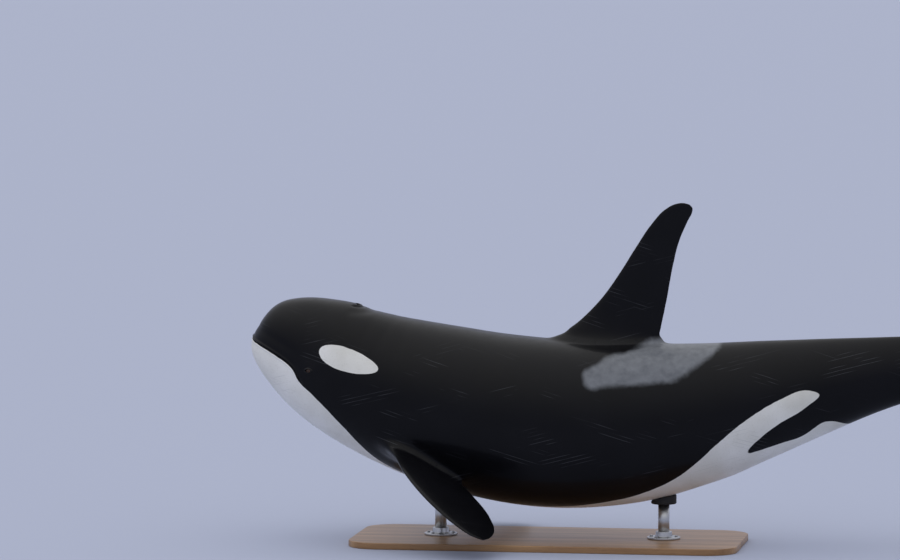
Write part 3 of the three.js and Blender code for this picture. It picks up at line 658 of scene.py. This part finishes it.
def flukes():
    """Both flukes as one blade from tip to tip, which runs through the tail stock."""
    front, back, t = fin_edges(FLUKE_LEAD, FLUKE_TRAIL, FLUKE_TIP, 130)
    scale = np.array([LENGTH, 1])
    back = uneven_edge(back * scale, front * scale, t, 3.5 * MM, 31) / scale
    other = np.array([1, -1])
    front = np.vstack([front[::-1], front[1:] * other])
    back = np.vstack([back[::-1], back[1:] * other])
    t = np.concatenate([t[::-1], t[1:]])

    def half_thickness(at, out):
        outside = np.abs(out) - 0.6 * section(np.minimum(at, 1))[2]
        return fin_thickness(t, FLUKE_THICK, outside + 0.05)

    def to_world(at, out, away):
        bend = FLUKE_DROOP * (np.abs(out) / FLUKE_TIP[1]) ** 2
        return place(at, out, FLUKE_HEIGHT * LENGTH + away - bend)

    ends = (FLUKE_TIP, FLUKE_TIP * other)
    return blade("flukes", front, back, half_thickness, to_world, ends)


# One skin
def joined(body, fins):
    """The body with its fins fused to it. Each face keeps the number of the mesh that it came from."""
    for number, mesh in enumerate((body, *fins)):
        for _ in range(len(fins) + 1):
            mesh.materials.append(None)
        mesh.polygons.foreach_set("material_index", np.full(len(mesh.polygons), number, np.int32))
    whole = linked("orca_skin", body)
    for fin in fins:
        other = linked("fin", fin)
        fuse = whole.modifiers.new("fuse", "BOOLEAN")
        fuse.operation = "UNION"
        fuse.solver = "MANIFOLD"
        fuse.object = other
        with bpy.context.temp_override(object=whole, active_object=whole):
            bpy.ops.object.modifier_apply(modifier=fuse.name)
        bpy.data.objects.remove(other)
    return whole


def seam_of(mesh):
    """The numbers of the points where faces of the body and of a fin meet."""
    part = np.repeat(values_of(mesh.polygons, "material_index"), values_of(mesh.polygons, "loop_total"))
    corner = values_of(mesh.loops, "vertex_index")
    lowest = np.full(len(mesh.vertices), len(mesh.materials))
    highest = np.full(len(mesh.vertices), -1)
    np.minimum.at(lowest, corner, part)
    np.maximum.at(highest, corner, part)
    return np.flatnonzero(lowest != highest)


def near_seam(mesh, points):
    """How near each point is to a seam: 1 on it, and 0 beyond the reach and in the notch of the flukes."""
    seam, reach = points[seam_of(mesh)], SOFTENED["reach"]
    found = KDTree(len(seam))
    for number, point in enumerate(seam):
        found.insert(point, number)
    found.balance()
    close = ((points > seam.min(0) - reach) & (points < seam.max(0) + reach)).all(1)
    weight = np.zeros(len(points))
    for vertex in np.flatnonzero(close):
        weight[vertex] = max(0, 1 - found.find(points[vertex])[2] / reach)
    return smooth(0, 0.75, weight) * (1 - smooth(*SOFTENED["fades"], unplace(points)[0]))


def soften_roots(mesh):
    """Rounds the seams where fins meet the body, as skin runs over them, and gives back the new points."""
    points = values_of(mesh.vertices, "co", 3, float)
    weight = near_seam(mesh, points)
    edges = values_of(mesh.edges, "vertices", 2)
    edges = edges[(weight[edges] > 0).any(1)]
    ends = np.concatenate([edges[:, 0], edges[:, 1]])
    others = np.concatenate([edges[:, 1], edges[:, 0]])
    pull = np.linalg.norm(points[ends] - points[others], axis=1) + 0.1 * MM
    total = np.maximum(np.bincount(ends, pull, len(points)), 1e-9)
    for _ in range(SOFTENED["rounds"]):
        sums = [np.bincount(ends, pull * points[others, k], len(points)) for k in range(3)]
        mean = np.stack(sums, -1) / total[:, None]
        points += (mean - points) * (SOFTENED["step"] * weight)[:, None]
    mesh.vertices.foreach_set("co", points.ravel())
    return points


# Markings
def either(one, other, blend=0.06):
    """Inside one outline or the other, with the corners between them filled softly."""
    near = np.maximum(blend - np.abs(one - other), 0) / blend
    return np.maximum(one, other) + near**2 * blend / 4


def throat_white(at, height):
    """How far a point is inside the white of the chin and throat, below the black lip."""
    boundary = line_on_side([*MOUTH_LINE, *THROAT_LINE[1:]])
    below = -above_line(boundary, at, height)
    return np.minimum(below - BLACK_LIP, (THROAT_LINE[-1][0] - at) * LENGTH)


def belly_white(at, y, height):
    """The same for the band under the belly. The skin curves up there, which makes the distance longer."""
    start, end, widest = BELLY_BAND[0][0], BELLY_BAND[-1][0], section(np.clip(at, 0.0005, 1))[4]
    band = (curve(BELLY_BAND)(at)[:, 0] * LENGTH - np.abs(y)) * 1.15
    return np.minimum.reduce([band, (at - start) * LENGTH, widest - height, (end - at) * LENGTH])


def eye_patch_white(at, height):
    """The same for the patch behind the eye, an ellipse that is leaner towards the tail."""
    length, depth = EYE_PATCH["length"] * LENGTH / 2, EYE_PATCH["depth"] * LENGTH / 2
    along, up = (at - EYE_PATCH["at"]) * LENGTH, height - EYE_PATCH["height"] * LENGTH
    along, up = leaning(along, up, EYE_PATCH["tilt"])
    along, up = along / length, up / depth
    up = up / (1 - EYE_PATCH["taper"] * np.clip(along, -1, 1))
    return (1 - np.hypot(along, up)) * depth * (1 + 0.8 * np.minimum(np.abs(along), 1))


def fluke_white(at, out, normals):
    """The same for the white under the flukes, within its black border."""
    t = np.linspace(0, 1, 200)
    lead, trail = (line([*edge, FLUKE_TIP])(t) for edge in (FLUKE_LEAD, FLUKE_TRAIL))
    lead_at = np.interp(out, lead[:, 1], lead[:, 0])
    trail_at = np.interp(out, trail[:, 1], trail[:, 0])
    within = np.minimum(at - lead_at, trail_at - at) * LENGTH
    within = np.minimum(within, FLUKE_TIP[1] - out - FLUKE_WHITE["tip"]) - FLUKE_WHITE["edge"]
    facing_down = (-normals[:, 2] - 0.35) * 0.1
    return np.minimum.reduce([within, facing_down, out - FLUKE_WHITE["middle"] + 0.3 * (at - 0.95)])


def marking_distances(points, normals):
    """How far each point is inside the white and the grey markings, in metres. Less than 0 is outside."""
    at, height = unplace(points)
    y = points[:, 1]
    top, _, side = section(np.clip(at, 0.0005, 1))[:3]
    flank, saddle = (
        inside_distance(rounded(outline) * LENGTH, at * LENGTH, height)
        for outline in (FLANK_PATCH, SADDLE_PATCH)
    )
    white = either(either(throat_white(at, height), belly_white(at, y, height)), flank)
    white = np.maximum(white, eye_patch_white(at, height))
    grey = np.minimum(saddle, top + 50 * MM - height)
    # Neither reaches out onto the flippers
    on_body = np.abs(y) < side + 30 * MM
    white, grey = (np.where(on_body, distance, -0.2) for distance in (white, grey))
    return np.where(at > FLUKE_WHITE["from"], fluke_white(at, np.abs(y), normals), white), grey


# Materials, with two settings that many of their nodes have
COLOURS = {"output": 2, "data_type": "RGBA"}  # mixes colours
SOFT_STEP = {"interpolation_type": "SMOOTHSTEP"}


def linear(colour):
    """An sRGB hex colour as the shader's linear one."""
    parts = [int(colour[i : i + 2], 16) / 255 for i in (1, 3, 5)]
    return (*(p / 12.92 if p <= 0.04045 else ((p + 0.055) / 1.055) ** 2.4 for p in parts), 1)


def feed(tree, node, inputs):
    """Gives a node what goes in, by name or in order: numbers, sRGB hex colours or other nodes' outputs."""
    for name, value in inputs.items() if isinstance(inputs, dict) else enumerate(inputs):
        if isinstance(value, bpy.types.NodeSocket):
            tree.links.new(value, node.inputs[name])
        else:
            node.inputs[name].default_value = linear(value) if isinstance(value, str) else value


def add(tree, kind, inputs=(), output=0, **settings):
    """Adds a node with its settings, and gives back one of its outputs."""
    node = tree.nodes.new("ShaderNode" + kind)
    for name, value in settings.items():
        setattr(node, name, value)
    feed(tree, node, inputs)
    return node.outputs[output]


def new_material(name):
    """A material, what adds a node to it, what feeds its shader, and the places of the surface's points."""
    material = bpy.data.materials.new(name)
    material.use_nodes = True
    tree = material.node_tree
    put = partial(add, tree)
    dress = partial(feed, tree, tree.nodes["Principled BSDF"])
    return material, put, dress, put("TexCoord", output="Object")


def rake_marks(put, where, lean, seed):
    """Sets of thin parallel scars on the sides, left by other orcas' teeth: 1 in a scar, 0 beside it."""
    where = put("Mapping", {"Vector": where, "Rotation": (0, lean, 0), "Location": (seed,) * 3})
    scale = math.pi / 10 / TOOTH_SPACING
    wave = {"Vector": where, "Scale": scale, "Distortion": 1.2, "Detail": 1, "Detail Scale": 0.25}
    lines = put("TexWave", wave, "Fac", bands_direction="Z")
    marks = put("MapRange", (lines, 0.965, 0.998), **SOFT_STEP)
    for size, low, high in (((0.5, 0.3, 0.16), 0.6, 0.68), ((0.2, 0.2, 0.02), 0.42, 0.55)):
        spot = put("VectorMath", (where, size), operation="DIVIDE")
        patches = put("TexNoise", {"Vector": spot, "Scale": 1, "Detail": 1})
        marks = put("Math", (marks, put("MapRange", (patches, low, high))), operation="MULTIPLY")
    rise = put("SeparateXYZ", (put("NewGeometry", output="Normal"),), "Z")
    upright = put("MapRange", (put("Math", (rise,), operation="ABSOLUTE"), 0.55, 0.85, 1, 0))
    return put("Math", (marks, upright), operation="MULTIPLY")


def wet_skin():
    """Orca skin, smooth as rubber and wet: near black and clean white, with a smoky grey saddle.
    The wet film gives a clear sheen, and the fine grain below keeps it soft."""
    material, put, dress, where = new_material("wet_orca_skin")
    sizes = (420 * MM, 60 * MM, 14 * MM, 2.6 * MM)
    broad, cloudy, speckle, grain = (
        put("TexNoise", {"Vector": where, "Scale": 1 / size, "Detail": 3}) for size in sizes
    )

    # The white's edges are clean and waver a little, and the grey's are smoky
    wobble = put("TexNoise", {"Vector": where, "Scale": 1 / (80 * MM), "Detail": 3})
    wobble = put("MapRange", (wobble, 0.2, 0.8, -3 * MM, 3 * MM))
    white = put("Math", (put("Attribute", output="Fac", attribute_name="white"), wobble))
    white = put("MapRange", (white, -2 * MM, 2 * MM), **SOFT_STEP)
    drift = put("TexNoise", {"Vector": where, "Scale": 1 / (190 * MM), "Detail": 5})
    drift = put("MapRange", (drift, 0.25, 0.75, -26 * MM, 26 * MM))
    grey = put("Math", (put("Attribute", output="Fac", attribute_name="grey"), drift))
    grey = put("MapRange", (grey, -30 * MM, 34 * MM), **SOFT_STEP)
    rakes = [rake_marks(put, where, lean, seed) for lean, seed in ((0.25, 3), (-0.3, 11))]
    scars = put("Math", rakes, operation="MAXIMUM")

    colour = put("Mix", {0: broad, 6: "#070709", 7: "#111115"}, **COLOURS)
    smoke = put("Mix", {0: cloudy, 6: "#54575d", 7: "#83868a"}, **COLOURS)
    clean = put("MapRange", (broad, 0.3, 0.7))
    cream = put("Mix", {0: clean, 6: "#d6d4ca", 7: "#f0efea"}, **COLOURS)
    stains = put("MapRange", (speckle, 0.55, 0.8, 0, 0.35))
    cream = put("Mix", {0: stains, 6: cream, 7: "#c4c1b6"}, **COLOURS)
    faint_scars = put("Math", (scars, 0.3), operation="MULTIPLY")
    for share, over in ((grey, smoke), (white, cream), (faint_scars, "#74767a")):
        colour = put("Mix", {0: share, 6: colour, 7: over}, **COLOURS)

    relief = put("Math", (speckle, 1.6, grain), operation="MULTIPLY_ADD")
    relief = put("Math", (scars, -1.2, relief), operation="MULTIPLY_ADD")
    dress({
        "Base Color": colour,
        "Roughness": put("MapRange", (cloudy, 0.3, 0.7, 0.29, 0.37)),
        "IOR": 1.42,
        "Specular IOR Level": 0.12,
        "Coat Weight": 0.2,
        "Coat Roughness": 0.1,
        "Coat IOR": 1.33,
        "Normal": put("Bump", {"Height": relief, "Distance": 0.3 * MM, "Strength": 0.35}),
    })
    return material


def eye_material():
    """A dark brown eye, blackish round the iris. Its clear wet cornea gives one sharp glint."""
    material, put, dress, where = new_material("wet_brown_eye")
    flecks = put("TexNoise", {"Vector": where, "Scale": 1 / (2.4 * MM), "Detail": 3})
    away = put("Attribute", output="Fac", attribute_name="from_axis")
    away = put("Math", (flecks, 2.4, away), operation="MULTIPLY_ADD")
    colour = "#010101"
    # Millimetres from the eye's axis where each colour starts and where it is full
    rings = (
        (6.5, 8, "#2c180c"),
        (8, 12, "#5c3719"),
        (12, 15, "#24140a"),
        (15, 16, "#080606"),
        (17, 24, "#211c1a"),
    )
    for start, full, outer in rings:
        share = put("MapRange", (away, start, full), **SOFT_STEP)
        colour = put("Mix", {0: share, 6: colour, 7: outer}, **COLOURS)
    dress({
        "Base Color": colour,
        "Roughness": 0.6,
        "IOR": 1.38,
        "Specular IOR Level": 0.2,
        "Coat Weight": 1,
        "Coat Roughness": 0.03,
        "Coat IOR": 1.38,
    })
    return material


def oiled_oak():
    """Oak boards glued edge to edge and oiled: warm brown and satin, with long grain and fine dark pores."""
    material, put, dress, where = new_material("oiled_oak")
    board = put("Math", (put("SeparateXYZ", (where,), "Y"), 1 / BOARD, 20), operation="MULTIPLY_ADD")
    number = put("Math", (board,), operation="FLOOR")
    tone = put("TexWhiteNoise", {"W": number}, noise_dimensions="1D")
    shift = put("CombineXYZ", (put("Math", (number, 7.3), operation="MULTIPLY"), 0, 0))
    spot = put("VectorMath", (where, shift))
    patterns = []
    for size, detail in (((0.9, 62 * MM, 62 * MM), 6), ((70 * MM, 2.4 * MM, 2.4 * MM), 3)):
        drawn = put("VectorMath", (spot, size), operation="DIVIDE")
        patterns.append(put("TexNoise", {"Vector": drawn, "Scale": 1, "Detail": detail}))
    grain, pores = patterns
    pores = put("MapRange", (pores, 0.55, 0.72, 0, 0.55))
    across = put("Math", (put("Math", (board,), operation="FRACT"), 0.5), operation="SUBTRACT")
    seam = put("MapRange", (put("Math", (across,), operation="ABSOLUTE"), 0.491, 0.499))
    colour = "#85603a"
    layers = (
        (put("MapRange", (grain, 0.3, 0.7)), "#bd9566"),
        (put("Math", (tone, 0.4), operation="MULTIPLY"), "#74502d"),
        (pores, "#5a3c20"),
        (seam, "#3a2614"),
    )
    for share, over in layers:
        colour = put("Mix", {0: share, 6: colour, 7: over}, **COLOURS)
    relief = put("Math", (1, put("Math", (pores, seam))), operation="SUBTRACT")
    dress({
        "Base Color": colour,
        "Roughness": 0.42,
        "Coat Weight": 0.25,
        "Coat Roughness": 0.3,
        "Normal": put("Bump", {"Height": relief, "Distance": 0.5 * MM, "Strength": 0.3}),
    })
    return material


def brushed_steel():
    """Stainless steel, turned and brushed: fine rings round each part, which draw its highlights out."""
    material, put, dress, where = new_material("brushed_steel")
    drawn = put("VectorMath", (where, (160 * MM, 160 * MM, 0.7 * MM)), operation="DIVIDE")
    brush = put("TexNoise", {"Vector": drawn, "Scale": 1, "Detail": 3})
    dress({
        "Base Color": "#c0c1c2",
        "Metallic": 1,
        "Roughness": put("MapRange", (brush, 0.2, 0.8, 0.24, 0.42)),
        "Normal": put("Bump", {"Height": brush, "Distance": 0.2 * MM, "Strength": 0.08}),
    })
    return material


def pad_rubber():
    """Moulded rubber, matt black, with the faint grain of its mould."""
    material, put, dress, where = new_material("matt_rubber")
    grain = put("TexNoise", {"Vector": where, "Scale": 1 / (1.1 * MM), "Detail": 2})
    dress({
        "Base Color": "#1d1d1e",
        "Roughness": 0.75,
        "Normal": put("Bump", {"Height": grain, "Distance": 0.3 * MM, "Strength": 0.25}),
    })
    return material


# Skin and eyes
def finished(piece, material, finish, *nodes):
    """Gives a piece its material and its place in the frame, instead of these solids."""
    piece.data.materials.clear()
    piece.data.materials.append(material)
    piece.data.polygons.foreach_set("use_smooth", np.ones(len(piece.data.polygons), bool))
    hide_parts(*nodes)
    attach(piece, "root")
    return piece


def orca_skin():
    """One skin over every solid of flesh, with the fins fused in and the markings worked out on it."""
    fins = (dorsal_fin(), flipper(1), flipper(-1), flukes())
    piece = joined(body_mesh(), fins)
    mesh = piece.data
    points = soften_roots(mesh)
    mesh.polygons.foreach_set("material_index", np.zeros(len(mesh.polygons), np.int32))
    mesh.update()
    white, grey = marking_distances(points, values_of(mesh.vertex_normals, "vector", 3, float))
    add_values(mesh, "white", white)
    add_values(mesh, "grey", grey)
    flesh = [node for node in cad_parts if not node.startswith(("stand_", "eye_left", "eye_right"))]
    return finished(piece, wet_skin(), "skin_black", *flesh)


def frame_at(at, height, side):
    """A point of the skin, and the directions there: towards the tail, up along the skin, and outwards."""

    def skin_point(at, height):
        return Vector(place(at, side * side_of(at, height), height))

    point = skin_point(at, height)
    aft = (skin_point(at + 0.004, height) - skin_point(at - 0.004, height)).normalized()
    up = (skin_point(at, height + 0.02) - skin_point(at, height - 0.02)).normalized()
    out = aft.cross(up).normalized()
    return point, aft, up, out if out.y * side > 0 else -out


def eye(name, side, material):
    """An eyeball with its cornea, sunk behind the lids."""
    point, aft, up, out = frame_at(EYE["at"], EYE["height"] * LENGTH, side)
    centre = point + out * (EYE["mound"] - EYE["sunk"])
    ball = bmesh.new()
    bmesh.ops.create_uvsphere(ball, u_segments=64, v_segments=40, radius=EYE["ball"])
    away = [math.hypot(vertex.co.x, vertex.co.y) / MM for vertex in ball.verts]
    for vertex, distance in zip(ball.verts, away):
        if vertex.co.z > 0:
            vertex.co.z += 1.6 * MM * hill(distance, 12)
        x, y, z = vertex.co
        vertex.co = centre + aft * x + up * y + out * z
    mesh = bpy.data.meshes.new(name)
    bmesh.ops.recalc_face_normals(ball, faces=ball.faces)
    ball.to_mesh(mesh)
    ball.free()
    add_values(mesh, "from_axis", np.array(away))
    finished(linked(name, mesh), material, "eye_brown", name)


# Stand
def eased(outline, reach, steps=4):
    """An outline with its inner corners rounded: each turns over the reach given for it."""
    made = [np.array(outline[0], float)]
    for before, here, after in zip(outline, outline[1:], outline[2:]):
        before, here, after = (np.array(p, float) for p in (before, here, after))
        start = here + (before - here) * min(0.5, reach / np.linalg.norm(before - here))
        end = here + (after - here) * min(0.5, reach / np.linalg.norm(after - here))
        for t in np.linspace(0, 1, steps + 1):
            made.append((1 - t) ** 2 * start + 2 * t * (1 - t) * here + t**2 * end)
    return [*made, np.array(outline[-1], float)]


def stacked(name, loops):
    """A closed solid through loops of points, each with the same count, from bottom to top."""
    loops = np.array(loops)
    rows, count = loops.shape[:2]
    bottom = np.arange(count)
    caps = [bottom[::-1], (rows - 1) * count + bottom]
    return mesh_of(name, loops.reshape(-1, 3), ring_faces(rows, count), caps)


def turned(name, centre, outline, count=96):
    """A part turned on a lathe, through (radius, height) rows from bottom to top."""
    middle = np.array([centre[0], centre[1]])
    rings = [np.column_stack([circle(count) * radius + middle, np.full(count, z)]) for radius, z in outline]
    return stacked(name, rings)


def merged(name, meshes):
    """Several meshes as one piece."""
    whole = bmesh.new()
    for mesh in meshes:
        whole.from_mesh(mesh)
    made = bpy.data.meshes.new(name)
    whole.to_mesh(made)
    whole.free()
    return linked(name, made)


def base_plate():
    """The oak base, with rounded corners and eased edges."""
    low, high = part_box("stand_base")
    reach_x, reach_y = (high.x - low.x) / 2, (high.y - low.y) / 2
    turn = np.linspace(0, math.pi / 2, 13)
    loops = []
    side = [(0.3, low.z), (0, low.z), (0, high.z), (0.3, high.z)]
    for inset, height in eased(side, BASE["edge"], 5)[1:-1]:
        corner = BASE["corner"] - inset
        loop = []
        for quarter in range(4):
            away = turn + quarter * math.pi / 2
            x = corner * np.cos(away) + (reach_x - BASE["corner"]) * (1 if quarter in (0, 3) else -1)
            y = corner * np.sin(away) + (reach_y - BASE["corner"]) * (1 if quarter in (0, 1) else -1)
            loop.append(np.stack([x, y, np.full(len(turn), height)], -1))
        loops.append(np.vstack(loop))
    finished(linked("base_plate", stacked("base_plate", loops)), oiled_oak(), "base_oak", "stand_base")


def flange(end, middle, radius, steel):
    """A rod's flange, with a sleeve round the rod and a ring of bolts on washers."""
    low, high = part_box("stand_flange_" + end)
    wide, thick, sleeve = (high.x - low.x) / 2, low.z + FLANGE["thick"], FLANGE["sleeve"]
    outline = [
        (wide - 20 * MM, low.z),
        (wide, low.z),
        (wide, thick),
        (sleeve + 4 * MM, thick + 2 * MM),
        (sleeve, high.z),
        (radius + 1 * MM, high.z),
    ]
    parts = [turned("flange", middle, eased(outline, 5 * MM))]
    bolt, top = BOLTS["radius"], thick + BOLTS["high"]
    washer = [(bolt * 1.25, thick - 1 * MM), (bolt * 1.25, thick + 2.5 * MM)]
    head = [(bolt, thick + 2 * MM), (bolt, top), (bolt * 0.5, top)]
    for spot in circle(BOLTS["count"]) * BOLTS["circle"] + np.array(middle.xy):
        parts.append(turned("washer", spot, washer, 32))
        parts.append(turned("bolt", spot, eased(head, 1.6 * MM), 6))
    finished(merged("flange_" + end, parts), steel, "rod_steel", "stand_flange_" + end)


def pad(end, middle, rubber, skin_tree):
    """A rod's rubber pad. Its top follows the skin over it, which rays find, and its rims are rolled."""
    low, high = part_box("stand_pad_" + end)
    wide = (high.x - low.x) / 2
    around = circle(PAD["sides"])
    loops = []
    for inset, height in eased([(wide * 0.6, 0), (0, 0), (0, 0.3)], PAD["edge"])[1:-1]:
        spots = around * (wide - inset) + np.array(middle.xy)
        loops.append(np.column_stack([spots, np.full(len(spots), low.z + height)]))
    for inset in PAD_RINGS:
        lowered = PAD["edge"] * max(0, 1 - inset * MM / PAD["edge"]) ** 2
        loop = []
        for x, y in around * (wide - inset * MM) + np.array(middle.xy):
            hit = skin_tree.ray_cast(Vector((x, y, low.z)), Vector((0, 0, 1)))[0]
            loop.append((x, y, hit.z - PAD["clear"] - lowered))
        loops.append(loop)
    finished(linked("pad_" + end, stacked("pad_" + end, loops)), rubber, "pad_rubber", "stand_pad_" + end)


def post(end, steel, rubber, skin_tree):
    """A steel rod in its flange, and the rubber pad on it that the belly lies in."""
    low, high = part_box("stand_rod_" + end)
    middle, radius = (low + high) / 2, (high.x - low.x) / 2
    rod = linked("rod_" + end, turned("rod_" + end, middle, [(radius, low.z), (radius, high.z)]))
    finished(rod, steel, "rod_steel", "stand_rod_" + end)
    flange(end, middle, radius, steel)
    pad(end, middle, rubber, skin_tree)


# Scene
def floor_and_light():
    """A plain pale floor under the sky. The paint is matt, so that the animal alone has a sheen."""
    disc = bmesh.new()
    bmesh.ops.create_circle(disc, cap_ends=True, radius=FLOOR["radius"], segments=96)
    mesh = bpy.data.meshes.new("floor")
    disc.to_mesh(mesh)
    disc.free()
    floor = linked("floor", mesh)
    material, _, dress, _ = new_material("pale_floor_paint")
    dress({"Base Color": FLOOR["colour"], "Roughness": 0.8})
    mesh.materials.append(material)
    world = bpy.data.worlds.new("sky")
    bpy.context.scene.world = world
    world.use_nodes = True
    put = partial(add, world.node_tree)
    way = put("TexCoord", output="Generated")
    rise = put("MapRange", (put("SeparateXYZ", (way,), "Z"), 0.02, 0.9), **SOFT_STEP)
    facing = put("VectorMath", (way, SKY["glow_from"]), "Value", operation="DOT_PRODUCT")
    facing = put("Math", (facing, 0), operation="MAXIMUM")
    glow = put("Math", (facing, SKY["glow_power"]), operation="POWER")
    shades = {
        "Color": put("Mix", {0: rise, 6: SKY["horizon"], 7: SKY["top"]}, **COLOURS),
        "Strength": put("Math", (glow, SKY["glow"], 1), operation="MULTIPLY_ADD"),
    }
    feed(world.node_tree, world.node_tree.nodes["Background"], shades)


def camera():
    """The photo's view: the snout and the animal's level come where they are in it."""
    turn, rise = math.radians(CAMERA["azimuth"]), math.radians(CAMERA["elevation"])
    back = Vector((math.sin(turn) * math.cos(rise), -math.cos(turn) * math.cos(rise), math.sin(rise)))
    right = Vector((math.cos(turn), math.sin(turn), 0))
    up = back.cross(right)
    snout = Vector(place(0, 0, section(0.0)[4]))
    level = Vector((0, 0, LEVEL_HEIGHT))
    aside = (PHOTO["width"] / 2 - PHOTO["snout_x"]) / PHOTO["per_metre"]
    above = (PHOTO["level_y"] - STAND_SHIFT - PHOTO["height"] / 2) / PHOTO["per_metre"]
    aim = level + right * ((snout - level).dot(right) + aside) + up * above
    data = bpy.data.cameras.new("camera")
    data.sensor_width = 36
    data.lens = data.sensor_width * CAMERA["distance"] / (PHOTO["width"] / PHOTO["per_metre"])
    data.clip_end = 2000
    made = bpy.data.objects.new("camera", data)
    bpy.context.scene.collection.objects.link(made)
    made.location = aim + back * CAMERA["distance"]
    made.rotation_euler = back.to_track_quat("Z", "Y").to_euler()
    bpy.context.scene.camera = made


camera()
skin = orca_skin()
eye_glass = eye_material()
eye("eye_left", -1, eye_glass)
eye("eye_right", 1, eye_glass)
steel, rubber = brushed_steel(), pad_rubber()
skin_tree = BVHTree.FromObject(skin, bpy.context.evaluated_depsgraph_get())
base_plate()
post("front", steel, rubber, skin_tree)
post("rear", steel, rubber, skin_tree)
floor_and_light()
bpy.context.scene.view_settings.view_transform = "Standard"
